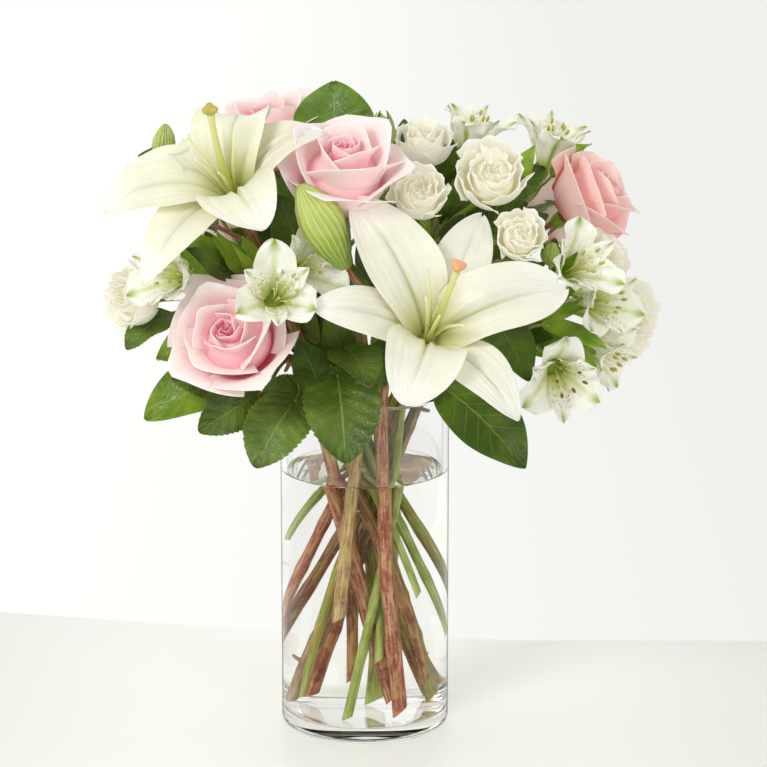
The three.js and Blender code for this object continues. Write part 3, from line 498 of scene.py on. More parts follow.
class Paint:
    """Lays out the shader nodes of a material or of the world."""

    def __init__(self, owner: Material | bpy.types.World) -> None:
        """Starts without nodes.

        Args:
            owner: What the nodes belong to.
        """
        owner.use_nodes = True
        self.owner = owner
        self.nodes = owner.node_tree.nodes
        self.links = owner.node_tree.links
        self.nodes.clear()

    def add(self, kind: str, inputs: dict | None = None, **settings: object) -> bpy.types.Node:
        """Adds a node.

        Args:
            kind: The node's type, without the word ShaderNode.
            inputs: A value or another node's output for each input socket.
            **settings: Properties of the node itself.

        Returns:
            The node.
        """
        node = self.nodes.new("ShaderNode" + kind)
        for key, value in settings.items():
            setattr(node, key, value)
        for key, value in (inputs or {}).items():
            if isinstance(value, Socket):
                self.links.new(value, node.inputs[key])
            else:
                node.inputs[key].default_value = value
        return node

    def sum(self, operation: str, a: object, b: object = 0.0, clamp: bool = False) -> Socket:
        """One sum on two numbers."""
        return self.add("Math", {0: a, 1: b}, operation=operation, use_clamp=clamp).outputs[0]

    def times(self, a: object, b: object) -> Socket:
        """One number times another."""
        return self.sum("MULTIPLY", a, b)

    def scaled(self, value: Socket, by: float, plus: object) -> Socket:
        """A number times another, and a third on top."""
        return self.add("Math", {0: value, 1: by, 2: plus}, operation="MULTIPLY_ADD").outputs[0]

    def band(self, value: Socket, low: float, high: float) -> Socket:
        """A soft step from 0 at low to 1 at high, or the other way round where low is the greater."""
        inputs = {"Value": value, "From Min": low, "From Max": high}
        return self.add("MapRange", inputs, interpolation_type="SMOOTHSTEP").outputs[0]

    def ramp(self, value: Socket, reach: Pair, ends: tuple[object, float]) -> Socket:
        """An even step from one end to the other as the value goes through its reach."""
        inputs = dict(enumerate((value, *reach, *ends)))
        return self.add("MapRange", inputs).outputs[0]

    def mix(self, share: object, a: object, b: object, way: str = "MIX") -> Socket:
        """Colour a, and by its share colour b, either of them perhaps a screen colour."""
        a, b = (linear(colour) if isinstance(colour, int) else colour for colour in (a, b))
        return self.add("Mix", {0: share, 6: a, 7: b}, data_type="RGBA", blend_type=way).outputs[2]

    def blend(self, share: Socket, a: Socket, b: Socket) -> Socket:
        """Surface a, and by its share surface b."""
        return self.add("MixShader", {0: share, 1: a, 2: b}).outputs[0]

    def marks(self) -> Marks:
        """The blade's marks.

        Returns:
            Its place across and along, its face and its tint.
        """
        blade = self.add("Attribute", attribute_name="blade", attribute_type="GEOMETRY")
        parts = self.add("SeparateXYZ", {0: blade.outputs["Vector"]}).outputs
        tint = self.add("Attribute", attribute_name="tint", attribute_type="GEOMETRY")
        return Marks(parts[0], parts[1], parts[2], tint.outputs["Fac"])

    def place(self) -> Socket:
        """The place on the object, in metres."""
        return self.add("TexCoord").outputs["Object"]

    def join(self, x: object, y: object, z: object = 0.0) -> Socket:
        """Three numbers as one vector."""
        return self.add("CombineXYZ", {0: x, 1: y, 2: z}).outputs[0]

    def stretched(self, marks: Marks, across: float, along: float) -> Socket:
        """The blade's own places as a vector, stretched both ways."""
        return self.join(self.times(marks.across, across), self.times(marks.along, along), marks.tint)

    def noise(self, scale: float, detail: float = 3.0, vector: Socket | None = None) -> Socket:
        """Noise from 0 to 1, over the object itself or over a vector."""
        inputs = {"Vector": self.place() if vector is None else vector, "Scale": scale, "Detail": detail}
        return self.add("TexNoise", inputs).outputs[0]

    def cells(self, vector: Socket, feature: str = "F1", randomness: float = 1.0) -> Socket:
        """How far each place is from the middle or the edge of its cell."""
        inputs = {"Vector": vector, "Scale": 1.0, "Randomness": randomness}
        return self.add("TexVoronoi", inputs, feature=feature).outputs["Distance"]

    def bump(self, height: Socket, depth: float, strength: float, below: Socket | None = None) -> Socket:
        """A relief, on top of another where there is one.

        Args:
            height: How high each place is, as a share of the depth.
            depth: The depth in metres.
            strength: How much of it shows.
            below: The other relief.

        Returns:
            The normals.
        """
        inputs = {"Height": height, "Distance": depth, "Strength": strength}
        if below is not None:
            inputs["Normal"] = below
        return self.add("Bump", inputs).outputs[0]

    def end(self, surface: Socket) -> Material:
        """Ends the material with a surface."""
        self.add("OutputMaterial", {0: surface})
        return self.owner

    def plant(self, look: tuple, glow: float, reach: Point, **more: object) -> Material:
        """Ends the material with the surface of a plant, which light goes into.

        Args:
            look: Its colour, its roughness and its normals.
            glow: How much light goes in.
            reach: How far red, green and blue go, as shares.
            **more: More of its inputs.

        Returns:
            The material.
        """
        inputs = dict(zip(("Base Color", "Roughness", "Normal"), look))
        inputs |= {"Subsurface Weight": glow, "Subsurface Radius": reach, "Subsurface Scale": 0.002}
        inputs |= {key.replace("_", " "): value for key, value in more.items()}
        return self.end(self.add("BsdfPrincipled", inputs).outputs[0])


@dataclass(frozen=True)
class Finish:
    """What every finish has: its name and the material that it makes once."""

    name: str

    def make(self) -> Material:
        """Builds the material."""
        raise NotImplementedError

    def paint(self) -> Paint:
        """The nodes of a new material."""
        return Paint(bpy.data.materials.new(self.name))

    def material(self) -> Material:
        """The material, built at the first use."""
        return bpy.data.materials.get(self.name) or self.make()


@dataclass(frozen=True)
class PetalFinish(Finish):
    """A petal: a throat, a body and a rim colour, a rib, fine veins, light passing through, and a painted
    glow.
    """

    throat: int = 0xC9D68A
    body: int = 0xF5F3E4
    rim: int = 0xF8F7EE
    throat_reach: Pair = (0.05, 0.32)
    rim_reach: Pair = (0.75, 1.0)
    rib: int = 0xDCE3B4
    rib_width: float = 0.09
    rib_reach: Pair = (0.95, 0.25)
    back_rib: int = 0xC3D08A
    heart: int = 0xF5F3E4
    nectar: int | None = None
    veins: float = 26.0
    vein_depth: float = 0.00012
    roughness: float = 0.5
    glow: float = 0.35
    glow_tint: Point = (1.0, 0.85, 0.55)
    # lift is a painted glow: the petal gives off light in its own colour, standing in for light passing
    # through it.
    lift: float = 0.0
    heart_tints: Pair = (0.25, 0.85)
    rim_tints: Pair = (1.1, 0.4)
    nectar_reach: Pair = (0.17, 0.03)
    mottle: float = 0.16
    shading: float = 0.03

    def colour(self, paint: Paint, marks: Marks) -> Socket:
        """The petal's colour from its marks.

        Args:
            paint: The material's nodes.
            marks: The blade's marks.

        Returns:
            The colour.
        """
        across, along, face, tint = marks
        # On a rose the heart and the throat colours are partly painted shade, deep in the bloom.
        deep = paint.band(along, self.throat_reach[1], self.throat_reach[0])
        shade = paint.mix(paint.band(tint, *self.heart_tints), self.body, self.heart)
        shade = paint.mix(deep, shade, self.throat)
        if self.nectar is not None:
            shade = paint.mix(paint.band(along, *self.nectar_reach), shade, self.nectar)
        edge = paint.times(paint.band(along, *self.rim_reach), paint.band(tint, *self.rim_tints))
        shade = paint.mix(edge, shade, self.rim)
        middle = paint.band(paint.sum("ABSOLUTE", across), self.rib_width, 0.0)
        rib = paint.mix(paint.band(face, -0.5, 0.5), self.back_rib, self.rib)
        shade = paint.mix(paint.times(middle, paint.band(along, *self.rib_reach)), shade, rib)
        mottle = paint.scaled(paint.noise(90.0), self.mottle, 1 - self.mottle / 2)
        own = paint.scaled(tint, self.shading, mottle)
        grey = paint.add("CombineColor", {0: own, 1: own, 2: own}).outputs[0]
        return paint.mix(1.0, shade, grey, "MULTIPLY")

    def make(self) -> Material:
        """Builds it.

        Returns:
            The material.
        """
        paint = self.paint()
        marks = paint.marks()
        shade = self.colour(paint, marks)
        wander = paint.noise(7.0, 2.0, paint.join(*marks[:2], marks.tint))
        place = paint.sum("ADD", marks.across, paint.times(wander, 0.3))
        veins = paint.sum("SINE", paint.times(place, self.veins))
        relief = paint.bump(veins, self.vein_depth, 0.7)
        relief = paint.bump(paint.noise(900.0, 2.0), 0.00015, 0.25, relief)
        rough = paint.times(paint.band(paint.noise(160.0), -0.6, 1.6), self.roughness * 2)
        return paint.plant(
            (shade, rough, relief),
            self.glow,
            self.glow_tint,
            Subsurface_Scale=0.0035,
            Sheen_Weight=0.03,
            # A painted glow: light given off in the petal's own colour, as strong as its lift.
            Emission_Color=shade,
            Emission_Strength=self.lift,
        )


@dataclass(frozen=True)
class SpeckledFinish(PetalFinish):
    """A petal with green at its tip and short dark streaks on its upper face."""

    tip: int = 0x9DB85A
    streaks: int = 0x5A2F22
    streak_share: float = 0.0

    def colour(self, paint: Paint, marks: Marks) -> Socket:
        """The petal's colour, with its tip and streaks.

        Args:
            paint: The material's nodes.
            marks: The blade's marks.

        Returns:
            The colour.
        """
        shade = super().colour(paint, marks)
        middle = paint.band(paint.sum("ABSOLUTE", marks.across), 0.55, 0.1)
        tip = paint.times(paint.band(marks.along, 0.72, 0.97), middle)
        shade = paint.mix(tip, shade, self.tip)
        if self.streak_share:
            dots = paint.band(paint.cells(paint.stretched(marks, 9.0, 11.0), "F1", 0.8), 0.34, 0.2)
            where = paint.times(paint.band(marks.along, 0.25, 0.4), paint.band(marks.along, 0.85, 0.7))
            dots = paint.times(paint.times(dots, where), self.streak_share)
            shade = paint.mix(dots, shade, self.streaks)
        return shade


@dataclass(frozen=True)
class LeafFinish(Finish):
    """A leaf: two faces, a midrib with side veins, a fine net between them, and a waxy gloss."""

    upper: int = 0x355C1E
    light: int = 0x4E7D28
    lower: int = 0x7C9A55
    vein: int = 0x8FA862
    pairs: float = 8.0
    slope: float = 0.9
    vein_strength: float = 0.32
    roughness: float = 0.34
    depth: float = 0.0005

    def make(self) -> Material:
        """Builds it.

        Returns:
            The material.
        """
        paint = self.paint()
        marks = paint.marks()
        reach = paint.sum("ABSOLUTE", marks.across)
        bow = paint.times(paint.sum("POWER", reach, 0.85), self.slope * 2)
        phase = paint.sum("SUBTRACT", paint.times(marks.along, self.pairs), bow)
        side = paint.sum("ABSOLUTE", paint.sum("SUBTRACT", paint.sum("FRACT", phase), 0.5))
        side = paint.times(paint.band(side, 0.09, 0.0), paint.band(reach, 1.0, 0.5))
        veins = paint.sum("MAXIMUM", paint.band(reach, 0.05, 0.012), paint.times(side, 0.6))
        patches = paint.band(paint.noise(55.0), 0.3, 0.75)
        tone = paint.sum("ADD", patches, paint.times(marks.tint, 0.35), True)
        top = paint.mix(tone, self.upper, self.light)
        top = paint.mix(paint.times(veins, self.vein_strength), top, self.vein)
        under = paint.mix(paint.times(veins, 0.5), self.lower, self.vein)
        shade = paint.mix(paint.band(marks.face, -0.5, 0.5), under, top)
        net = paint.band(paint.cells(paint.stretched(marks, 10.0, 22.0), "DISTANCE_TO_EDGE"), 0.0, 0.25)
        relief = paint.bump(veins, self.depth, 0.7, paint.bump(net, 0.00025, 0.35))
        rough = paint.scaled(paint.noise(220.0), 0.25, self.roughness - 0.1)
        return paint.plant((shade, rough, relief), 0.12, (0.5, 1.0, 0.2))


@dataclass(frozen=True)
class StemFinish(Finish):
    """A stem: two barks that run into each other along its length, fine fibres and small marks."""

    bark: int = 0x8A5A45
    other: int = 0x7C7A3A
    marks_colour: int = 0xC09A6A
    shade: int = 0x5A3018
    spread: Pair = (0.45, 0.55)
    fibres: float = 8.0
    marks_share: float = 0.6
    roughness: float = 0.5

    def make(self) -> Material:
        """Builds it.

        Returns:
            The material.
        """
        paint = self.paint()
        marks = paint.marks()
        across, along, _, tint = marks
        places = (paint.times(mark, by) for mark, by in ((across, 1.4), (along, 11.0), (tint, 9.0)))
        tone = paint.band(paint.noise(1.0, 5.0, paint.join(*places)), *self.spread)
        shade = paint.mix(tone, self.bark, self.other)
        fibre = paint.noise(1.0, 2.0, paint.stretched(marks, self.fibres, 9.0))
        pale = paint.times(paint.band(fibre, 0.5, 0.68), 0.65)
        shade = paint.mix(pale, shade, self.marks_colour)
        deep = paint.times(paint.band(fibre, 0.47, 0.32), 0.55)
        shade = paint.mix(deep, shade, self.shade)
        dots = paint.band(paint.cells(paint.stretched(marks, 7.0, 60.0)), 0.28, 0.12)
        shade = paint.mix(paint.times(dots, self.marks_share), shade, self.marks_colour)
        relief = paint.bump(dots, 0.0005, 0.5, paint.bump(fibre, 0.0006, 0.6))
        return paint.plant((shade, self.roughness, relief), 0.06, (1.0, 0.2, 0.1))


@dataclass(frozen=True)
class FleshFinish(Finish):
    """A small smooth part, such as a bud, a style or an anther, from a root to a tip colour."""

    root: int = 0x9CB84E
    tip: int = 0xC9D67A
    rib: int = 0xB9CF74
    ribs: float = 0.0
    grain: float = 400.0
    grain_depth: float = 0.0002
    roughness: float = 0.45
    glow: float = 0.2

    def make(self) -> Material:
        """Builds it.

        Returns:
            The material.
        """
        paint = self.paint()
        marks = paint.marks()
        shade = paint.mix(paint.band(marks.along, 0.1, 0.9), self.root, self.tip)
        mottle = paint.times(paint.band(paint.noise(self.grain * 0.4), 0.35, 0.8), 0.3)
        shade = paint.mix(mottle, shade, self.rib)
        relief = paint.bump(paint.noise(self.grain), self.grain_depth, 0.5)
        if self.ribs:
            wander = paint.times(paint.noise(60.0, 2.0), 2.5)
            place = paint.times(marks.across, self.ribs * math.pi)
            line = paint.sum("SINE", paint.sum("ADD", place, wander))
            shade = paint.mix(paint.times(paint.band(line, 0.2, 1.0), 0.45), shade, self.rib)
            relief = paint.bump(line, 0.0006, 0.6, relief)
        return paint.plant((shade, self.roughness, relief), self.glow, (0.8, 1.0, 0.4))


@dataclass(frozen=True)
class ClearFinish(Finish):
    """Glass or water: clear, with lamps let straight through to what stands in it.

    Where glass and water touch, marked by a face below 0, neither mirrors anything. Towards its
    outline the body turns to its edge colour, a painted shade where it is seen edge on.
    """

    tint: int = 0xFFFFFF
    # The edge colour is a painted shade, darkening the body where it is seen edge on.
    edge: int = 0xFFFFFF
    ior: float = 1.5
    painted_edge_from: Pair = (0.78, 0.98)

    def make(self) -> Material:
        """Builds it.

        Returns:
            The material.
        """
        paint = self.paint()
        # Painted shade: the body turns to its edge colour as it is seen more edge on.
        facing = paint.add("LayerWeight", {0: 0.5}).outputs["Facing"]
        shade = paint.mix(paint.band(facing, *self.painted_edge_from), self.tint, self.edge)
        inputs = {"Color": shade, "Roughness": 0.0, "IOR": self.ior}
        glass = paint.add("BsdfGlass", inputs).outputs[0]
        wet = paint.add("BsdfRefraction", inputs).outputs[0]
        clear = paint.blend(paint.band(paint.marks().face, -0.4, -0.6), glass, wet)
        straight = paint.add("BsdfTransparent", {"Color": linear(0xFEFEFD)}).outputs[0]
        path = paint.add("LightPath").outputs
        lamps = paint.sum("MAXIMUM", path["Is Shadow Ray"], path["Is Diffuse Ray"])
        return paint.end(paint.blend(lamps, clear, straight))


@dataclass(frozen=True)
class MatteFinish(Finish):
    """The plain pale surface that the vase stands on, greyer to its sides as a painted shade, evenly lit far
    from it.
    """

    colour: int = 0xFAFAF7
    cloud: int = 0xF6F6F2
    # The far colour is a painted shade, which greys the table towards its left and right sides.
    far: int = 0xE4E4DF
    painted_shade_from: Pair = (0.08, 0.3)
    lift: float = 0.11
    lit_from: Pair = (0.45, 1.1)

    def make(self) -> Material:
        """Builds it.

        Returns:
            The material.
        """
        paint = self.paint()
        cloud = paint.times(paint.band(paint.noise(3.0, 2.0), 0.2, 0.8), 0.3)
        shade = paint.mix(cloud, self.colour, self.cloud)
        aside = paint.sum("ABSOLUTE", paint.add("SeparateXYZ", {0: paint.place()}).outputs[0])
        # Painted shade: greyer towards the sides.
        shade = paint.mix(paint.band(aside, *self.painted_shade_from), shade, self.far)
        inputs = {
            "Base Color": shade,
            "Roughness": 0.35,
            "Specular IOR Level": 0.3,
            "Emission Color": linear(self.colour),
            "Emission Strength": self.lift,
        }
        near = paint.add("BsdfPrincipled", inputs).outputs[0]
        away = paint.add("VectorMath", {0: paint.place()}, operation="LENGTH").outputs["Value"]
        material = paint.end(paint.blend(paint.band(away, *self.lit_from), near, sweep_light(paint)))
        material.cycles.emission_sampling = "NONE"
        return material


def sweep_light(paint: Paint) -> Socket:
    """The even light of the sweep, a little weaker to the right.

    Args:
        paint: The material's nodes.

    Returns:
        The light.
    """
    x = paint.add("SeparateXYZ", {0: paint.place()}).outputs[0]
    tone = paint.ramp(x, (-SWEEP_REACH, SWEEP_REACH), TONES)
    return paint.add("Emission", {"Color": linear(PALE), "Strength": tone}).outputs[0]


@dataclass(frozen=True)
class LitFinish(Finish):
    """The evenly lit sweep behind the table."""

    def make(self) -> Material:
        """Builds it.

        Returns:
            The material.
        """
        paint = self.paint()
        material = paint.end(sweep_light(paint))
        material.cycles.emission_sampling = "NONE"
        return material


# The lift of each petal finish below is a painted glow, standing in for light passing through the petals.
LILY_PETAL = PetalFinish(
    "lily_petal_wax", throat=0xD0D088, nectar=0x858114, body=0xF2EFDA, rim=0xF5F3E6,
    throat_reach=(0.08, 0.55), rib=0xD6DA94, rib_width=0.11, back_rib=0xB4C26A, roughness=0.4,
    heart=0xEEEBCE, lift=0.04,
)
# The left lily's petals: a darker, creamier copy of the lily petal, partly painted shade that tones down the
# key lamp's strong light on it.
LILY_CREAM_SHADED = replace(
    LILY_PETAL, name="lily_petal_cream", body=0xEFEDD2, rim=0xF6F4E6, heart=0xE9E5BA, rib=0xD4D88E,
    throat=0xCCCE80,
)
# The roses' deep pink throat, at the base of every petal, and their pinker heart on the inner petals lie deep
# in the bloom: partly the rose's own colour, partly painted shade.
ROSE_PINK = PetalFinish(
    "rose_petal_pink", throat=0xE2607A, body=0xFADEDD, rim=0xFBE9E5, heart=0xEE849E,
    throat_reach=(0.12, 0.62), rim_reach=(0.75, 1.0), rib=0xF3C3C6, back_rib=0xF3DCD0,
    rib_width=0.05, veins=34.0, vein_depth=0.00005, roughness=0.6, glow=0.45,
    glow_tint=(1.0, 0.4, 0.35), lift=0.06,
)
ROSE_SALMON = replace(
    ROSE_PINK, name="rose_petal_salmon", throat=0xDE6C6C, body=0xF7C8C2, rim=0xFADAD4,
    heart=0xF09EA0, back_rib=0xF0D2C2,
)
SPRAY_IVORY = PetalFinish(
    "spray_rose_ivory", throat=0xEEE4B4, body=0xF5F2E0, rim=0xFAF8EC, heart=0xF4EED2,
    throat_reach=(0.1, 0.6), rib=0xEFEBD2, back_rib=0xE3E6BE, rib_width=0.05, veins=22.0,
    vein_depth=0.00005, roughness=0.6, glow=0.6, glow_tint=(1.0, 0.9, 0.65), lift=0.085,
)
FLORET_OUTER = SpeckledFinish(
    "alstroemeria_outer", throat=0xA8BA48, body=0xF4F3E2, rim=0xF6F5E8, throat_reach=(0.1, 0.5),
    rib=0xD2DCA4, back_rib=0x8CAA3E, rib_width=0.24, rib_reach=(1.0, 0.6), tip=0x8CAA3C, lift=0.08,
)
FLORET_INNER = replace(
    FLORET_OUTER, name="alstroemeria_inner", throat=0xC8CF62, throat_reach=(0.2, 0.7),
    streak_share=0.8, rib_width=0.1,
)
LEAF_DARK = LeafFinish("leaf_dark", upper=0x3C560A, light=0x627E1C, lower=0x829A44, vein=0xA6B65A)
LEAF_ROSE = LeafFinish("leaf_rose", upper=0x465E12, light=0x6C862C, lower=0x7C9048, vein=0xAEBA70, pairs=9.0)
LEAF_BRIGHT = LeafFinish(
    "leaf_bright", upper=0x5E7E0A, light=0x84A01C, lower=0x97AE4A, vein=0xB4C456, pairs=7.0,
    roughness=0.3,
)
LEAF_TOP = LeafFinish(
    "leaf_top", upper=0x52741E, light=0x7C9C3C, lower=0x8AA446, vein=0xB0C274, pairs=9.0,
    roughness=0.3,
)
LEAF_STRAP = LeafFinish(
    "leaf_strap", upper=0x74981A, light=0xA2BE3C, lower=0xAAC25C, vein=0xC0D074, pairs=1.0,
    slope=0.1, vein_strength=0.25,
)
GREENS = {Green.DARK: LEAF_DARK, Green.BRIGHT: LEAF_BRIGHT, Green.SATIN: LEAF_TOP}
STEM_RED = StemFinish("stem_red_brown", bark=0x9C5642, other=0xB4845A, marks_colour=0xDAB08A)
STEM_BROWN = StemFinish("stem_brown", bark=0x8E5C3E, other=0xAC8852, marks_colour=0xD0AE7E)
STEM_GREY = StemFinish("stem_grey_brown", bark=0x8A7050, other=0x9C8460, marks_colour=0xC4AC84)
STEM_TAN = StemFinish("stem_tan_pink", bark=0xB08E62, other=0xB8A05E, marks_colour=0xD9C496)
STEM_OLIVE = StemFinish(
    "stem_olive", bark=0x96863A, other=0x8E9A3E, marks_colour=0xC4BC70, shade=0x6A6420,
    marks_share=0.25,
)
STEM_GREEN = StemFinish(
    "stem_green", bark=0xA2AE5C, other=0x909E46, marks_colour=0xC4CE90, shade=0x6E7E34,
    marks_share=0.15, roughness=0.4,
)
CUT_END = FleshFinish("stem_cut_end", root=0xB9A868, tip=0xD8CF9A, rib=0xA88C50, roughness=0.7)
HIP_GREEN = FleshFinish("hip_green", root=0x7E9A2E, tip=0x96AC40, rib=0xAABF54)
SEPAL = LeafFinish(
    "sepal_green", upper=0x6E8C2A, light=0x8CA83C, lower=0x93AC4E, pairs=1.0, slope=0.1,
    vein_strength=0.2,
)
BUD_GREEN = FleshFinish("bud_green", root=0x8CA828, tip=0xC2D06C, rib=0xD8E29C, ribs=20.0, roughness=0.36)
STYLE = FleshFinish("style_pale_green", root=0xB8C050, tip=0xDADC96, rib=0xD0D47C, roughness=0.35)
STIGMA = FleshFinish("stigma_orange", root=0xE09A60, tip=0xF4B488, rib=0xD27A44, grain=1500.0, roughness=0.6)
STIGMA_OCHRE = replace(STIGMA, name="stigma_ochre", root=0xB8A84A, tip=0xC8B75C, rib=0xA08E38)
FILAMENT = FleshFinish("filament_pale", root=0xC9D076, tip=0xEEEBC0, rib=0xE2E1A0)
ANTHER = FleshFinish("anther_brown", root=0x6A4A2A, tip=0x8A6A3A, rib=0x4A3220, grain=1500.0, roughness=0.8)
ANTHER_GREEN = replace(ANTHER, name="anther_green", root=0xA8A04C, tip=0xC2B860, rib=0x8E8A3C)
# The edge colours of the glass and of the water are painted shade.
GLASS = ClearFinish("clear_glass", ior=1.5, edge=0x6E776F)
WATER = ClearFinish("still_water", ior=1.333, tint=0xFFFFFE, edge=0xE4E8E0)
TABLE = MatteFinish("pale_table")
SWEEP = LitFinish("lit_sweep")


# ======== Shapes ========


@dataclass
class Shape:
    """A closed surface of quads, with its marks and finish, in millimetres."""

    points: Array
    quads: Array
    marks: Array
    finish: Finish
    tint: float = 0.0

    def placed(self, stand: Stand) -> Shape:
        """The shape moved from a bloom's own frame to its place."""
        return replace(self, points=stand.place(self.points))


@dataclass
class Basket:
    """The shapes of one piece, which become its mesh."""

    name: str
    shapes: list[Shape]

    def dress(self, mesh: bpy.types.Mesh) -> None:
        """Gives the mesh a material for each finish, and smooth faces.

        Args:
            mesh: The mesh of all the shapes.
        """
        finishes = list(dict.fromkeys(shape.finish for shape in self.shapes))
        for finish in finishes:
            mesh.materials.append(finish.material())
        index = [np.full(len(shape.quads), finishes.index(shape.finish), np.int32) for shape in self.shapes]
        mesh.polygons.foreach_set("material_index", np.concatenate(index))
        mesh.polygons.foreach_set("use_smooth", np.ones(len(mesh.polygons), bool))

    def mark(self, mesh: bpy.types.Mesh) -> None:
        """Writes the marks and tints on the mesh's points, and keeps the rims of blades sharp.

        Args:
            mesh: The mesh of all the shapes.
        """
        marks = np.concatenate([shape.marks for shape in self.shapes])
        blade = mesh.attributes.new("blade", "FLOAT_VECTOR", "POINT")
        blade.data.foreach_set("vector", marks.astype(np.float32).ravel())
        ends = np.empty(2 * len(mesh.edges), np.int32)
        mesh.edges.foreach_get("vertices", ends)
        mesh.edges.foreach_set("use_edge_sharp", (marks[:, 2] == 0)[ends.reshape(-1, 2)].all(1))
        tints = [np.full(len(shape.points), shape.tint, np.float32) for shape in self.shapes]
        mesh.attributes.new("tint", "FLOAT", "POINT").data.foreach_set("value", np.concatenate(tints))

    def piece(self, slot: str, *nodes: str) -> None:
        """Makes the mesh of all the shapes as one piece on the part's body.

        Args:
            slot: The record's material slot for the piece; it is not used.
            *nodes: The nodes that the piece stands for.
        """
        starts = np.cumsum([0] + [len(shape.points) for shape in self.shapes])
        quads = np.concatenate([shape.quads + start for shape, start in zip(self.shapes, starts)])
        points = np.concatenate([shape.points for shape in self.shapes]) * MM
        mesh = bpy.data.meshes.new(self.name)
        mesh.from_pydata(points.tolist(), [], quads.tolist())
        self.dress(mesh)
        self.mark(mesh)
        mesh.update()
        piece = bpy.data.objects.new(self.name, mesh)
        bpy.context.scene.collection.objects.link(piece)
        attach(piece, BODY)
        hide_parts(*nodes)
        LOG.info("%s: %d faces", self.name, len(quads))


def walls(rows: int, sides: int) -> Array:
    """The quads between rings of points.

    Args:
        rows: How many rings there are.
        sides: How many points each has.

    Returns:
        The quads, by row and side.
    """
    index = np.arange(rows * sides).reshape(rows, sides)
    beside = np.roll(index, -1, axis=1)
    return np.stack([index[:-1], beside[:-1], beside[1:], index[1:]], -1)


def around(turn: float, reach: float, up: float) -> Point:
    """A point out from a bloom's axis at a turn in radians, and up along it."""
    return (reach * math.cos(turn), reach * math.sin(turn), up)


def level(low: float, high: float) -> Bezier:
    """A straight line up a bloom's axis."""
    return Bezier(((0, 0, low), (0, 0, high)))


def sheet(grid: Array, thick: Array, facing: Array, s: Array, t: Array, finish: Finish, tint: float) -> Shape:
    """A thin closed body from a grid of points.

    Args:
        grid: The points, rows along and columns across.
        thick: The thickness at each of them.
        facing: The way the upper face looks, roughly, at each row.
        s: The mark across of each point.
        t: The mark along of each point.
        finish: Its finish.
        tint: Its own shade.

    Returns:
        The closed shape.
    """
    rows, columns = grid.shape[:2]
    normal = unit(np.cross(np.gradient(grid, axis=1), np.gradient(grid, axis=0)))
    if np.sum(normal * facing[:, None, :]) < 0:
        normal = -normal
    edge = np.ones((rows, columns), bool)
    edge[1:-1, 1:-1] = False
    half = np.where(edge, 0.0, thick / 2)[..., None]
    upper = (grid + normal * half).reshape(-1, 3)
    lower = (grid - normal * half)[1:-1, 1:-1].reshape(-1, 3)
    top = np.arange(rows * columns).reshape(rows, columns)
    bottom = top.copy()
    bottom[1:-1, 1:-1] = rows * columns + np.arange((rows - 2) * (columns - 2)).reshape(rows - 2, columns - 2)

    def cells(index: Array) -> Array:
        """The quads of one face."""
        return np.stack([index[:-1, :-1], index[:-1, 1:], index[1:, 1:], index[1:, :-1]], -1).reshape(-1, 4)

    quads = np.concatenate([cells(top), cells(bottom)[:, [0, 3, 2, 1]]])
    a, b, d = (upper[cells(top)[:, i]] for i in (0, 1, 3))
    if np.sum(np.cross(b - a, d - a) * normal[:-1, :-1].reshape(-1, 3)) < 0:
        quads = quads[:, ::-1]
    face = np.concatenate([np.where(edge, 0.0, 1.0).ravel(), -np.ones(len(lower))])
    marks = [np.concatenate([mark.ravel(), mark[1:-1, 1:-1].ravel()]) for mark in (s, t)]
    return Shape(np.concatenate([upper, lower]), quads, np.stack([*marks, face], 1), finish, tint)


# The least half width of a blade and radius of a tube, in mm, so that no face shrinks to nothing.
NARROWEST = 0.12
POINTED = 0.02


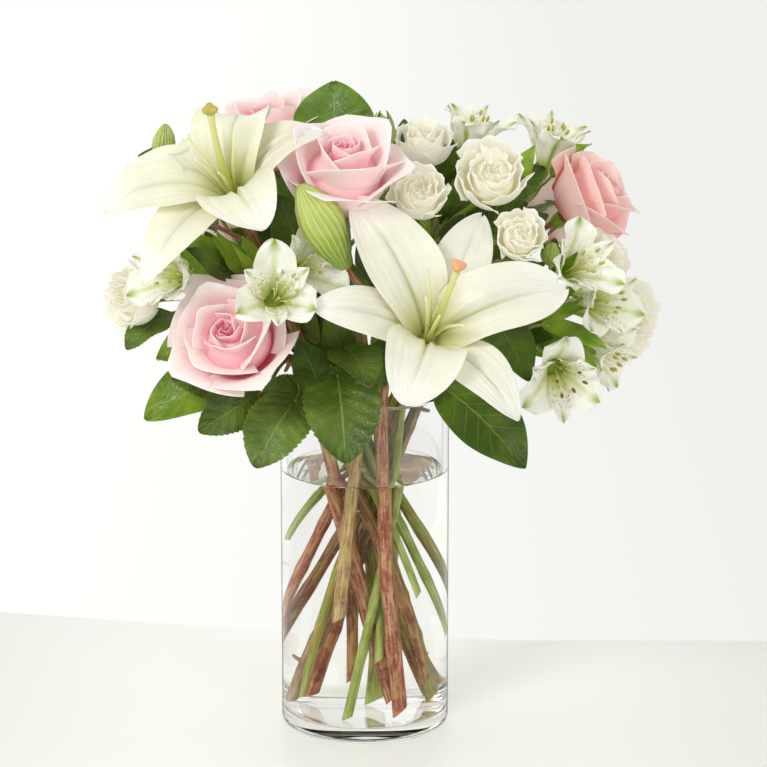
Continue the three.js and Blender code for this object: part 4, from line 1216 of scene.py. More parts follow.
@dataclass(frozen=True)
class Blade:
    """A petal, sepal or leaf.

    Its outline is two powers, for where it is widest and how full it is. The curl across is given for
    each mm, at root and tip. The ripple, the teeth and the relief come on top.
    """

    half: float
    finish: Finish
    outline: Pair = (0.7, 0.7)
    curl: Pair = (0.0, 0.0)
    ripple: float = 0.0
    waves: float = 2.0
    phase: float = 0.0
    teeth: int = 0
    tooth_depth: float = 0.0
    thick: float = 0.6
    rows: int = 22
    columns: int = 12
    relief: Relief | None = None

    def widths(self, t: Array) -> Array:
        """Half the width along the blade.

        Args:
            t: Places from 0 to 1.

        Returns:
            Half the width at each.
        """
        width = self.half * np.sin(np.pi * np.clip(t, 0.002, 0.998) ** self.outline[0]) ** self.outline[1]
        if self.teeth:
            bite = 1 - (t * self.teeth) % 1
            width = width * (1 - self.tooth_depth * (1 - bite) * smooth(0, 0.12, t))
        return np.maximum(width, NARROWEST)

    def along(self, spine: Curve, side: Array, tint: float = 0.0) -> Shape:
        """The blade along a spine.

        Args:
            spine: The curve of its middle, from root to tip.
            side: The way across it.
            tint: Its own shade.

        Returns:
            The closed shape.
        """
        t = (1 - np.cos(np.pi * np.linspace(0, 1, self.rows + 1))) / 2
        if self.teeth:
            t = np.linspace(0.004, 0.996, self.rows + 1)
        s = np.sin(np.linspace(-np.pi / 2, np.pi / 2, self.columns + 1))
        tangent = spine.heading(t)
        across = unit(side - tangent * (tangent @ side)[:, None])
        inward = np.cross(tangent, across)
        width = self.widths(t)
        bend = np.maximum(self.curl[0] + (self.curl[1] - self.curl[0]) * t, 1e-6)
        turn = (bend * width)[:, None] * s
        places, spots = np.meshgrid(s, t)
        lift = (1 - np.cos(turn)) / bend[:, None]
        lift = lift + self.ripple * places**2 * np.sin(2 * np.pi * self.waves * spots + places + self.phase)
        if self.relief:
            lift = lift + self.relief(places, spots, width[:, None])
        sideways = (np.sin(turn) / bend[:, None])[..., None] * across[:, None, :]
        grid = spine.at(t)[:, None, :] + sideways + lift[..., None] * inward[:, None, :]
        thick = self.thick * (1 - 0.45 * np.abs(places) ** 3)
        return sheet(grid, thick, inward, places, spots, self.finish, tint)

    def petal(self, azimuth: float, outline: Sequence[Pair], tint: float) -> Shape:
        """The blade as a petal of a bloom, in the bloom's own frame.

        Args:
            azimuth: Where it stands round the bloom, in degrees.
            outline: Its spine as points out from the axis and up along it.
            tint: Its own shade.

        Returns:
            The closed shape.
        """
        turn = math.radians(azimuth)
        side = np.array([-math.sin(turn), math.cos(turn), 0.0])
        return self.along(Bezier(tuple(around(turn, *point) for point in outline)), side, tint)


@dataclass(frozen=True)
class Tube:
    """A round body along a curve, with closed ends: rings of place along, radius and lobe height.

    Its foot may be cut on the slant. The wobble keeps it from being quite round. Its length, in mm,
    stretches its marks.
    """

    curve: Curve
    rings: tuple[tuple[float, ...], ...]
    finish: Finish
    sides: int = 10
    lobes: int = 0
    slant: float = 0.0
    cut: Finish | None = None
    wobble: float = 0.0
    length: float = 0.0

    def shapes(self, tint: float = 0.0) -> list[Shape]:
        """The body, and the cut face at its foot where it has one.

        Args:
            tint: Its own shade.

        Returns:
            The two shapes.
        """
        rings = np.array([tuple(ring) + (0.0,) * (3 - len(ring)) for ring in self.rings])
        t, radius, swell = rings.T
        t = np.concatenate([[t[0]], t, [t[-1]]])
        closed = np.concatenate([[POINTED], radius, [POINTED]])
        swell = np.concatenate([[0.0], swell, [0.0]])
        tangent = self.curve.heading(t)
        centre = self.curve.at(t)
        across = np.array([0.0, 1.0, 0.0]) if abs(tangent[0, 0]) > 0.9 else np.array([1.0, 0.0, 0.0])
        angles = 2 * np.pi * np.arange(self.sides) / self.sides
        points = []
        for i, way in enumerate(tangent):
            across = unit(across - way * (across @ way))
            beside = np.cross(way, across)
            reach = closed[i] * (1 + swell[i] * np.cos(self.lobes * angles))
            if self.wobble:
                swing = np.sin(31 * t[i] + tint)
                reach = reach * (1 + self.wobble * np.sin(3 * angles + 17 * t[i] + 5 * tint) * swing)
            lean = self.slant * reach * np.cos(angles) if i <= 1 else 0 * angles
            ring = np.outer(reach * np.cos(angles), across) + np.outer(reach * np.sin(angles), beside)
            points.append(centre[i] + ring + np.outer(lean, way))
        points = np.concatenate(points)
        count, rows = self.sides, len(t)
        quads = walls(rows, count)
        spots = np.repeat(t * ((self.length or 100.0) / 100.0), count)
        marks = np.stack([np.tile(angles / np.pi - 1, rows), spots, np.ones(rows * count)], 1)
        body = Shape(points, quads[1:].reshape(-1, 4), marks, self.finish, tint)
        ends, end_marks = points[: 2 * count], marks[: 2 * count]
        return [body, Shape(ends, quads[0].reshape(-1, 4), end_marks, self.cut or self.finish, tint)]


def taper(count: int, first: float, last: float) -> tuple[Pair, ...]:
    """Rings of a tube that tapers evenly."""
    return tuple((i / (count - 1), first + (last - first) * i / (count - 1)) for i in range(count))


# ======== Blooms ========


@dataclass
class Bloom:
    """A bloom on its stand, built in a frame of its own."""

    name: str
    stand: Stand

    def shapes(self) -> list[Shape]:
        """The bloom's shapes in its own frame."""
        raise NotImplementedError

    def draws(self) -> np.random.Generator:
        """The bloom's own draws."""
        return seeded(self.name)


@dataclass
class LilyPetals(Bloom):
    """Six petals of a lily round a short throat: each azimuth, reach, rise, belly, and inner or not."""

    petals: tuple[tuple[float, float, float, float, bool], ...]
    finish: PetalFinish = LILY_PETAL
    inner: Blade = Blade(
        24.5, LILY_PETAL, (1.34, 0.54), (0.045, 0.013), 2.2, 1.8, thick=0.8, rows=38, columns=26
    )
    outer: Blade = Blade(
        17.5, LILY_PETAL, (1.2, 0.6), (0.03, 0.003), 1.0, 1.5, thick=0.8, rows=34, columns=20
    )

    @staticmethod
    def channel(recurve: float, lean: float, s: Array, t: Array, width: Array) -> Array:
        """The lift of a petal: a groove between two ridges, parallel veins and a tip bent back.

        Args:
            recurve: How far the tip bends back, in mm.
            lean: How far the petal's waves run to one side.
            s: Places across.
            t: Places along.
            width: Half the width there.

        Returns:
            The lift in mm.
        """
        run = smooth(0.0, 0.12, t) * smooth(1.0, 0.72, t)
        place = s * width / 25
        ridges = np.exp(-(((np.abs(place) - 0.1) / 0.05) ** 2))
        groove = np.exp(-((place / 0.055) ** 2))
        vein = 0.1 * np.sin(21 * place) * smooth(0.1, 0.4, t)
        soft = 1.3 * np.sin(4.1 * t + 2.2 * s + lean) * np.abs(s)
        curl = -recurve * smooth(0.72, 1.0, t) ** 1.5 * (1 - 0.3 * s**2)
        return run * (1.5 * ridges - 2.0 * groove + vein) + soft + curl

    def shapes(self) -> list[Shape]:
        """The petals and the throat.

        Returns:
            Their shapes.
        """
        draws = self.draws()
        found = []
        for azimuth, reach, rise, belly, is_inner in self.petals:
            blade = self.inner if is_inner else self.outer
            out, up = (3.0, 3.0) if is_inner else (5.5, 2.0)
            drop = 0 if is_inner else 5.0
            middle = (0.38 * reach + out, belly - out - drop)
            outline = [(out, up), (1.8 * out + 3, up + 22), middle, (reach - 1, rise - drop)]
            relief = partial(self.channel, draws.uniform(1.5, 5.5), draws.uniform(-1, 1))
            blade = replace(blade, finish=self.finish, relief=relief, phase=draws.uniform(0, 6.3))
            found.append(blade.petal(azimuth, outline, draws.uniform(-0.5, 0.5)))
        throat = Tube(level(0.4, 9), ((0, 5.5), (0.5, 6.6), (1, 6.8)), STYLE, 16)
        return found + throat.shapes()


@dataclass
class Pistil(Bloom):
    """A style with a lobed stigma, and pale filaments round it."""

    stigma: Finish = STIGMA

    def shapes(self) -> list[Shape]:
        """The style, the stigma and the filaments.

        Returns:
            Their shapes.
        """
        bow = Bezier(((0, 0, 9.5), (1, -2, 45), (4, 6, 76)))
        rings = ((0, 3.2), (0.2, 2.6), (0.4, 2.2), (0.6, 1.9), (0.85, 1.9), (1, 2.3))
        style = Tube(bow, rings, STYLE, 12, lobes=3)
        rings = ((0, 1.9), (0.2, 2.9, 0.12), (0.5, 3.9, 0.24), (0.8, 4.1, 0.28))
        rings += ((0.95, 3.3, 0.3), (1, 2.2, 0.3))
        knob = Tube(Bezier(((3.6, 5.5, 74), (4.4, 7, 79.4))), rings, self.stigma, 18, lobes=3)
        found = style.shapes() + knob.shapes()
        for i, azimuth in enumerate((40, 110, 190, 300, 245)):
            turn = math.radians(azimuth)
            steps = ((1.2, 11), (5, 34), (13 + (i % 2) * 6, 50 + (i % 3) * 5))
            curve = Bezier(tuple(around(turn, *step) for step in steps))
            found += Tube(curve, taper(12, 1.7, 0.65), FILAMENT, 8).shapes()
        return found


@dataclass(frozen=True)
class Whorl:
    """One ring of a rose's petals, with lengths as shares of the rose's size.

    Args:
        count: How many petals.
        profile: The middle of a petal from root to rim, as out and up.
        spread: Half the angle round the axis that a petal spans, in radians.
        tuck: How much further out one side lies than the other.
        fall: How far the sides end below the middle, as a share of the length.
        roll: How far the sides roll out near the rim.
        point: How far the middle of the rim stands out, as a share of the length.
    """

    count: int
    profile: tuple[Pair, ...]
    spread: float
    tuck: float
    fall: float
    roll: float = 0.0
    point: float = 0.0


ROSE_WHORLS = (
    Whorl(2, ((0.02, 0.1), (0.035, 0.3), (0.035, 0.44), (0.016, 0.53)), 1.9, 0.02, 0.04),
    Whorl(3, ((0.03, 0.1), (0.08, 0.22), (0.07, 0.42), (0.05, 0.56)), 1.4, 0.024, 0.05),
    Whorl(3, ((0.05, 0.1), (0.13, 0.2), (0.105, 0.42), (0.1, 0.585)), 1.35, 0.03, 0.07, 0.012),
    Whorl(3, ((0.06, 0.08), (0.22, 0.14), (0.14, 0.44), (0.2, 0.605)), 1.25, 0.04, 0.12, 0.06, 0.06),
    Whorl(3, ((0.08, 0.06), (0.33, 0.04), (0.22, 0.42), (0.36, 0.56)), 1.25, 0.05, 0.16, 0.1, 0.09),
    Whorl(4, ((0.1, 0.04), (0.42, 0.0), (0.3, 0.32), (0.49, 0.42)), 1.1, 0.045, 0.2, 0.1, 0.14),
)

SPRAY_WHORLS = (
    Whorl(3, ((0.03, 0.1), (0.08, 0.25), (0.08, 0.42), (0.05, 0.54)), 1.5, 0.04, 0.06, 0.02, 0.03),
    Whorl(3, ((0.05, 0.1), (0.18, 0.18), (0.15, 0.42), (0.13, 0.59)), 1.25, 0.05, 0.1, 0.05, 0.04),
    Whorl(4, ((0.08, 0.08), (0.32, 0.08), (0.26, 0.42), (0.26, 0.57)), 1.1, 0.06, 0.12, 0.07, 0.05),
    Whorl(5, ((0.1, 0.05), (0.46, 0.0), (0.4, 0.3), (0.42, 0.46)), 1.0, 0.06, 0.16, 0.07, 0.06),
)


@dataclass
class Rose(Bloom):
    """A rose: cupped petals that hug each other round a heart."""

    finish: PetalFinish
    whorls: tuple[Whorl, ...] = ROSE_WHORLS
    ruffle: float = 0.008
    crimps: float = 2.0
    thick: float = 0.55
    rows: int = 18
    columns: int = 18
    uneven: float = 0.04

    def petal(self, whorl: Whorl, azimuth: float, tint: float, draws: np.random.Generator) -> Shape:
        """One petal of a whorl.

        Args:
            whorl: The ring that it belongs to.
            azimuth: Where its middle is, in degrees.
            tint: Its own shade.
            draws: Where its small differences come from.

        Returns:
            The closed shape.
        """
        size = self.stand.size
        columns = np.sin(np.linspace(-np.pi / 2, np.pi / 2, self.columns + 1))
        s, t = np.meshgrid(columns, np.sin(np.linspace(0, np.pi / 2, self.rows + 1)))
        lean, phase = draws.uniform(-0.35, 0.35), draws.uniform(0, 6.3)
        side = np.abs(s - 0.2 * lean)
        rim = smooth(0.5, 1.0, t) ** 2
        point = whorl.point * np.exp(-(((s - 0.3 * lean) / 0.24) ** 2)) * t**5
        place = t * (1 - whorl.fall * side**2.4) + point
        middle = Bezier(whorl.profile).at(place) * size * draws.uniform(1 - self.uneven, 1 + self.uneven)
        rolled = whorl.roll * size * side**2 * rim * (1 + lean * s)
        wave = self.ruffle * size * rim * np.sin(self.crimps * np.pi * s + phase)
        out = middle[..., 0] + whorl.tuck * size * s * (0.4 + 0.6 * t) + rolled + wave
        up = middle[..., 1] - 0.55 * rolled + 0.5 * wave + 0.015 * size * np.sin(1.7 * s + phase) * t
        turn = math.radians(azimuth)
        angle = turn + s * whorl.spread * (0.4 + 0.6 * smooth(0.0, 0.5, t))
        grid = np.stack([out * np.cos(angle), out * np.sin(angle), up], -1)
        facing = np.tile(np.array([-math.cos(turn), -math.sin(turn), 0.4]), (self.rows + 1, 1))
        return sheet(grid, self.thick * (1 - 0.4 * np.abs(s) ** 4), facing, s, t, self.finish, tint)

    def shapes(self) -> list[Shape]:
        """The petals and the heart.

        Returns:
            Their shapes.
        """
        size, draws = self.stand.size, self.draws()
        found = []
        for ring, whorl in enumerate(self.whorls):
            depth = 1 - ring / (len(self.whorls) - 1)
            for i in range(whorl.count):
                azimuth = 360 * (i + 0.37 * ring) / whorl.count + 47 * ring
                azimuth = azimuth + 200 * self.uneven * draws.uniform(-1, 1)
                found.append(self.petal(whorl, azimuth, depth + draws.uniform(-0.12, 0.12), draws))
        rings = ((0, 0.1), (0.1, 0.24), (0.35, 0.3), (0.62, 0.29), (0.8, 0.2), (0.9, 0.12), (1, 0.03))
        rings = tuple((t, share * size) for t, share in rings)
        heart = Tube(level(0.02 * size, 0.47 * size), rings, self.finish, 24)
        return found + heart.shapes(0.5)


class FloretPetal(NamedTuple):
    """A petal's sizes and look, for a floret 50 mm across: reach and rise are where its tip is."""

    reach: float
    rise: float
    root: float
    half: float
    ripple: float
    outline: Pair
    columns: int
    finish: Finish


FLORET_PETALS = (
    FloretPetal(27, 38, 4.2, 14.0, 3.0, (1.45, 0.58), 14, FLORET_OUTER),
    FloretPetal(22, 42, 2.6, 6.6, 0.8, (1.35, 0.8), 10, FLORET_INNER),
)


@dataclass
class Floret(Bloom):
    """An alstroemeria floret: three broad outer and three narrow inner petals, with its stamens."""

    anther: Finish = ANTHER_GREEN

    def shapes(self) -> list[Shape]:
        """The petals, the funnel and the stamens.

        Returns:
            Their shapes.
        """
        scale, draws = self.stand.size / 50, self.draws()
        found = []
        for i in range(6):
            kind = FLORET_PETALS[i % 2]
            reach = kind.reach * scale * draws.uniform(0.93, 1.12)
            rise, root = kind.rise * scale, kind.root * scale
            outline = [(root, 5 * scale), (root + 2 * scale, 17 * scale)]
            outline += [(0.45 * reach + root, 0.85 * rise), (reach, rise)]
            blade = Blade(
                kind.half * scale,
                kind.finish,
                kind.outline,
                (0.12, 0.03),
                kind.ripple * scale,
                2.6,
                draws.uniform(0, 6.3),
                thick=0.5,
                rows=20,
                columns=kind.columns,
                relief=partial(self.creased, scale),
            )
            found.append(blade.petal(60 * i, outline, draws.uniform(-0.6, 0.6)))
        rings = ((0, 2.4 * scale), (0.6, 4.4 * scale), (1, 5.6 * scale))
        found += Tube(level(0.4, 12 * scale), rings, HIP_GREEN, 12).shapes()
        for i in range(6):
            turn = math.radians(60 * i + 25)
            steps = ((1.5, 11), (3, 24), (draws.uniform(5, 9) * scale, 33 + 2 * (i % 3)))
            points = (around(turn, *step) for step in steps)
            curve = Bezier(tuple((x, y - 0.12 * up, up * scale) for x, y, up in points))
            found += Tube(curve, taper(7, 0.5 * scale, 0.35 * scale), FILAMENT, 6).shapes()
            tip, way = curve.spot(1.0)
            sac = Bezier((tip - 1.2 * way, tip + 3.0 * scale * way))
            found += Tube(sac, ((0, 0.4), (0.3, 0.95), (0.7, 0.95), (1, 0.4)), self.anther, 8).shapes()
        return found

    @staticmethod
    def creased(scale: float, s: Array, t: Array, _: Array) -> Array:
        """The lift of a petal in mm: a crease along its middle and a crimped rim."""
        crease = -0.7 * scale * np.exp(-((s / 0.12) ** 2)) * smooth(0, 0.3, t)
        return crease + 0.6 * scale * np.abs(s) ** 3 * np.sin(30 * t + 5 * s) * smooth(0.35, 0.75, t)


# ======== The stems' way through the vase ========


class Foot(NamedTuple):
    """Where a stem's cut foot is, the stem's radius and its bark."""

    place: Point
    radius: float
    bark: StemFinish


FEET = {
    "lily_front": Foot((18, -24, 14), 4.2, STEM_RED),
    "lily_left": Foot((12, -12, 20), 4.2, STEM_RED),
    "lily_back": Foot((4, 12, 13), 4.2, STEM_GREEN),
    "rose_front_left": Foot((31, -10, 28), 3.6, STEM_BROWN),
    "rose_top_middle": Foot((-14, -30, 75), 3.6, STEM_TAN),
    "rose_top_left": Foot((30, 6, 14), 3.6, STEM_OLIVE),
    "rose_right": Foot((-38, -6, 15), 3.8, STEM_GREY),
    "rose_back_left": Foot((24, 26, 14), 3.6, STEM_BROWN),
    "rose_back_right": Foot((-22, 20, 13), 3.6, STEM_RED),
    "spray_top": Foot((-41, 6, 62), 2.8, STEM_RED),
    "spray_left": Foot((41, 8, 78), 2.6, STEM_OLIVE),
    "spray_right": Foot((-40, 14, 40), 2.8, STEM_BROWN),
    "spray_back": Foot((-6, -4, 30), 2.6, STEM_BROWN),
    "alstro_left": Foot((43, 0, 56), 2.5, STEM_GREEN),
    "alstro_top": Foot((-34, -20, 22), 2.5, STEM_OLIVE),
    "alstro_right": Foot((-9, -26, 11), 2.6, STEM_GREEN),
    "alstro_back": Foot((6, -14, 48), 2.4, STEM_GREEN),
    "greens_top": Foot((4, 2, 38), 2.2, STEM_OLIVE),
    "greens_left": Foot((36, -22, 90), 2.2, STEM_GREEN),
    "greens_right": Foot((-42, -10, 118), 2.2, STEM_GREEN),
}


# The gap from a stem to the glass, in mm, and how much of a kink goes in each round.
WALL_GAP = 0.9
EASE = 0.16


@dataclass
class Way:
    """A stem's way from its foot up to the rim, as x and y at evenly spaced heights."""

    name: str
    radius: float
    foot: float
    x: list[float]
    y: list[float]

    def span(self, height: float, top: float) -> tuple[int, float]:
        """The knot below a height, and how far above that knot it is.

        Args:
            height: The height.
            top: The height where the way ends.

        Returns:
            The knot's number, and the share of the stretch above it.
        """
        share = (height - self.foot) / (top - self.foot) * (len(self.x) - 1)
        low = min(max(math.floor(share), 0), len(self.x) - 2)
        return low, share - low

    def read(self, low: int, share: float) -> Pair:
        """Where the stem is, a share of the way past a knot."""
        x = self.x[low] + (self.x[low + 1] - self.x[low]) * share
        return x, self.y[low] + (self.y[low + 1] - self.y[low]) * share

    def push(self, low: int, share: float, dx: float, dy: float) -> None:
        """Moves the two knots round a place.

        Args:
            low: The knot below it.
            share: How far above that knot it is.
            dx: How far to the right it goes.
            dy: How far back it goes.
        """
        self.x[low] += dx * (1 - share)
        self.y[low] += dy * (1 - share)
        self.x[low + 1] += dx * share
        self.y[low + 1] += dy * share

    def settle(self, bore: float) -> None:
        """Keeps the knots inside the glass, without kinks.

        Args:
            bore: The inner radius of the glass.
        """
        room = bore - self.radius - WALL_GAP
        for i in range(len(self.x)):
            if 0 < i < len(self.x) - 1:
                self.x[i] += EASE * ((self.x[i - 1] + self.x[i + 1]) / 2 - self.x[i])
                self.y[i] += EASE * ((self.y[i - 1] + self.y[i + 1]) / 2 - self.y[i])
            out = math.hypot(self.x[i], self.y[i])
            if out > room:
                self.x[i] *= room / out
                self.y[i] *= room / out


@dataclass
class StemWays:
    """All the stems' ways, which find their places between each other.

    Args:
        neck_height: The height of the rim, where the ways end.
        spread: How far out the rim end is, as a share of what the stem carries.
        neck_radius: The furthest out that it may be.
        stretch: The height from one knot to the next.
        rounds: How often the stems are moved apart.
        bore: The inner radius of the glass.
        elbow_room: How far apart two stems stand, as a share of their two radii.
        elbow_gap: How much further apart than that.
        lowest: The lowest height at which they are moved apart.
        layers: How many more such heights there are up to the rim.
    """

    neck_height: float = 213.0
    spread: float = 0.3
    neck_radius: float = 34.0
    stretch: float = 55.0
    rounds: int = 400
    bore: float = 47.5
    elbow_room: float = 1.12
    elbow_gap: float = 0.8
    lowest: float = 12.0
    layers: int = 30

    def carried(self, name: str) -> Stand:
        """What a stem carries."""
        kind, _, place = name.partition("_")
        return {"lily": LILIES, "rose": ROSES}.get(kind, {}).get(place) or FORKS[name]

    def straight(self, name: str) -> Way:
        """A stem's straight way from foot to rim.

        Args:
            name: The stem's name.

        Returns:
            The way.
        """
        (x, y, z), radius, _ = FEET[name]
        root = self.carried(name).root
        neck = np.array(root[:2]) * self.spread
        neck *= min(1.0, self.neck_radius / max(float(np.linalg.norm(neck)), 1e-9))
        steps = int((self.neck_height - z) / self.stretch + 0.5)
        shares = [i / steps for i in range(steps + 1)]
        ends = ((x, neck[0]), (y, neck[1]))
        across, back = ([low + (high - low) * t for t in shares] for low, high in ends)
        return Way(name, radius, z, across, back)

    def part(self, ways: list[Way], height: float) -> None:
        """Moves the stems apart at one height, wherever two are too close.

        Args:
            ways: The stems that reach this height.
            height: The height.
        """
        spans = [way.span(height, self.neck_height) for way in ways]
        places = [way.read(*span) for way, span in zip(ways, spans)]
        for i, one in enumerate(ways):
            for j in range(i + 1, len(ways)):
                other = ways[j]
                need = (one.radius + other.radius) * self.elbow_room + self.elbow_gap
                dx, dy = places[j][0] - places[i][0], places[j][1] - places[i][1]
                if dx * dx + dy * dy >= need * need:
                    continue
                apart = math.hypot(dx, dy) or 1.0
                dx, dy = (v / apart * (need - apart) * 0.5 for v in (dx, dy))
                one.push(*spans[i], -dx, -dy)
                other.push(*spans[j], dx, dy)
                places[i], places[j] = one.read(*spans[i]), other.read(*spans[j])

    def courses(self) -> dict[str, Spline]:
        """The whole curve of every stem, from its cut foot to what it carries.

        Returns:
            The curves, by the stems' names.
        """
        ways = [self.straight(name) for name in FEET]
        rise = self.neck_height - self.lowest
        heights = [self.lowest + i * rise / self.layers for i in range(self.layers + 1)]
        present = [[way for way in ways if way.foot <= height + 4] for height in heights]
        for _ in range(self.rounds):
            for height, standing in zip(heights, present):
                self.part(standing, height)
            for way in ways:
                way.settle(self.bore)
        return {way.name: self.course(way) for way in ways}

    def course(self, way: Way) -> Spline:
        """One stem's whole curve.

        Args:
            way: Its way up to the rim.

        Returns:
            The curve.
        """
        z = np.linspace(way.foot, self.neck_height, len(way.x))
        points = np.stack([way.x, way.y, z], 1)
        target = self.carried(way.name)
        heading = unit(points[-1] - points[-2])
        upper = sweep(points[-1], heading, np.array(target.root, float), target.axis())
        return Spline(np.vstack([points, upper.at(np.array([1, 2, 3]) / 3)]))


# ======== Shoots: stems with their branches, hips, buds and leaves ========


# A hip: radii back from its end, and its radius there as a share. A sepal on it: out and up, in radii.
HIP_PROFILE = ((2.0, 0.7), (1.3, 1), (0.6, 1.05), (0.15, 1.2))
HIP_SEPAL = ((0.5, 0.0), (1.6, -0.1), (2.6, 0.3), (3.4, -0.9))
# Closed buds: place along, radius as a share and, on a lily, lobe height. A sepal on a rosebud: out in
# radii, up in lengths.
LILY_BUD = (
    *((0, 0.3, 0), (0.1, 0.5, 0), (0.3, 0.85, 0.03), (0.5, 1.0, 0.06), (0.65, 0.97, 0.09)),
    *((0.8, 0.78, 0.12), (0.9, 0.52, 0.16), (0.97, 0.3, 0.2), (1, 0.12, 0.1)),
)
ROSE_BUD = ((0, 0.35), (0.15, 0.75), (0.35, 1.0), (0.6, 0.95), (0.85, 0.55), (1, 0.12))
BUD_SEPAL = ((0.45, 0.05), (1.25, 0.3), (1.1, 0.75), (0.5, 1.12))


@dataclass
class Shoot:
    """A stem with all that grows on it.

    Args:
        name: The stem's name.
        course: Its curve.
        green: The finish of its leaves.
        gap: How far a branch ends below its bloom.
        rose_lift: How far up a spray rose its hip ends, as a share of the rose's size.
        joint_gap: From one joint of the stem to the next.
        lily_joint_gap: The same on a lily.
        ring_gap: From one ring of the stem to the next.
        bow: How far a leaf bows up, as a share of its length.
    """

    name: str
    course: Spline
    green: Finish
    gap: float = 0.4
    rose_lift: float = 0.02
    joint_gap: float = 26.0
    lily_joint_gap: float = 60.0
    ring_gap: float = 5.0
    bow: float = 0.16

    def kind(self) -> str:
        """The kind of flower that the stem carries."""
        return self.name.partition("_")[0]

    def stem(self, tint: float) -> list[Shape]:
        """The stem itself, thicker at its joints, cut on the slant at its foot.

        Args:
            tint: Its own shade.

        Returns:
            The stem and its cut face.
        """
        _, radius, bark = FEET[self.name]
        length = self.course.length()
        count = int(length / self.ring_gap)
        joint_gap = self.lily_joint_gap if self.kind() == "lily" else self.joint_gap
        joints = np.arange(0.12, 0.95, joint_gap / length)
        rings = []
        for i in range(count + 1):
            t = i / count
            swell = 0.16 * float(np.exp(-((np.abs(joints - t).min() * length / 3.2) ** 2)))
            rings.append((t, radius * (1 - 0.2 * t) * (1 + swell)))
        tube = Tube(self.course, tuple(rings), bark, 14, slant=0.8, cut=CUT_END, wobble=0.05, length=length)
        return tube.shapes(tint)

    def thorns(self, tint: float) -> list[Shape]:
        """Small thorns and pruned twigs along a woody stem.

        Args:
            tint: Their own shade.

        Returns:
            The thorns and twigs.
        """
        _, radius, bark = FEET[self.name]
        draws = seeded(self.name)
        found = []
        for t in np.arange(0.06, 0.9, 0.065):
            at, way = self.course.spot(float(t + draws.uniform(-0.015, 0.015)))
            turn = draws.uniform(0, 2 * math.pi)
            beside = unit(np.cross(way, [math.cos(turn), math.sin(turn), 0.1]))
            start = at + beside * radius * 0.75
            long, *ends = (5.5, 1.5, 1.0) if draws.uniform() < 0.2 else (2.9, 1.2, 0.15)
            line = Bezier((start, start + beside * long * 0.6, start + beside * long + 0.8 * way))
            found += Tube(line, taper(5, *ends), bark, 7, cut=CUT_END).shapes(tint)
        return found

    def hip(self, curve: Curve, radius: float, thin: float, sepals: Stand) -> list[Shape]:
        """A hip at the end of a branch, with five sepals spread under the rose.

        Args:
            curve: The branch.
            radius: The radius of the hip.
            thin: The radius of the branch below it.
            sepals: The stand of the rose, which the sepals share.

        Returns:
            The branch with the hip, and the sepals.
        """
        long = curve.length()
        stalk = (ring for ring in taper(8, thin, thin)[:6] if ring[0] < 1 - 3.5 * radius / long)
        profile = ((3.4, thin), (2.6, thin * 1.05), *((back, radius * share) for back, share in HIP_PROFILE))
        rings = (*stalk, *((1 - back * radius / long, r) for back, r in profile))
        found = Tube(curve, rings, HIP_GREEN, 12).shapes()
        blade = Blade(radius * 0.75, SEPAL, (0.6, 0.9), (0.05, 0.02), 0.3, thick=0.5, rows=12, columns=6)
        outline = [(out * radius, up * radius) for out, up in HIP_SEPAL]
        for i in range(5):
            found.append(blade.petal(72 * i + 20, outline, 0.3 * (i % 2)).placed(sepals))
        return found

    def branch(self, bloom: Stand, radius: float, hip: float = 0.0) -> list[Shape]:
        """A branch from the fork to a bloom, with a hip under a spray rose.

        Args:
            bloom: The stand of the bloom.
            radius: The radius of the branch.
            hip: The radius of the hip, or 0.

        Returns:
            The branch.
        """
        fork = FORKS[self.name]
        start = np.array(fork.root) - 2 * fork.axis()
        short = self.rose_lift * bloom.size - self.gap if hip else -self.gap
        end = np.array(bloom.root) + short * bloom.axis()
        curve = sweep(start, fork.axis(), end, bloom.axis())
        if hip:
            return self.hip(curve, hip, radius * 0.8, bloom)
        return Tube(curve, taper(14, radius, radius * 0.75), STEM_GREEN, 10, length=curve.length()).shapes()

    def grown(self, knot: int, spine: Curve, thick: float, finish: Finish) -> list[Shape]:
        """The stalk from a knot of the stem to what grows on it.

        Args:
            knot: The knot, counted from the top.
            spine: The middle of what grows there.
            thick: The radius of the stalk.
            finish: Its finish.

        Returns:
            The stalk.
        """
        start = 1 - knot / (len(self.course.points) - 1)
        at, heading = self.course.spot(start)
        end, arrival = spine.spot(0.12)
        stalk = sweep(at - (0 if knot else 1) * heading, heading, end, arrival)
        return Tube(stalk, taper(16, thick * 1.2, thick * 0.8), finish, 8, length=stalk.length()).shapes()

    def leaf(self, place: LeafPlace, tint: float) -> list[Shape]:
        """A leaf on its stalk, folded along its midrib.

        Args:
            place: Where it is, its size and its edge.
            tint: Its own shade.

        Returns:
            The leaf and its stalk.
        """
        root, tip = np.array(place.root, float), np.array(place.tip, float)
        long = tip - root
        face = unit(np.array(place.face, float))
        face = unit(face - long * (face @ long) / (long @ long))
        rise = self.bow * np.linalg.norm(long) * face
        spine = Bezier((root, root + 0.33 * long + rise, root + 0.7 * long + rise, tip))
        side = unit(np.cross(face, spine.spot(0.5)[1]))
        teeth, depth, *powers = place.edge.value
        lance = place.edge is Edge.LANCE
        finish = GREENS[place.green] if place.green else LEAF_STRAP if lance else self.green
        blade = Blade(
            place.half,
            finish,
            tuple(powers),
            (0.012, 0.012),
            1.3,
            1.7,
            phase=4 * tint,
            teeth=teeth,
            tooth_depth=depth,
            rows=teeth * 5 if teeth else 42,
            columns=16,
            relief=partial(self.folded, place.half, 0.0 if lance else 8.0),
        )
        stalk = self.grown(place.knot, spine, 1.0, STEM_GREEN if lance else STEM_OLIVE)
        return [blade.along(spine, side, tint), *stalk]

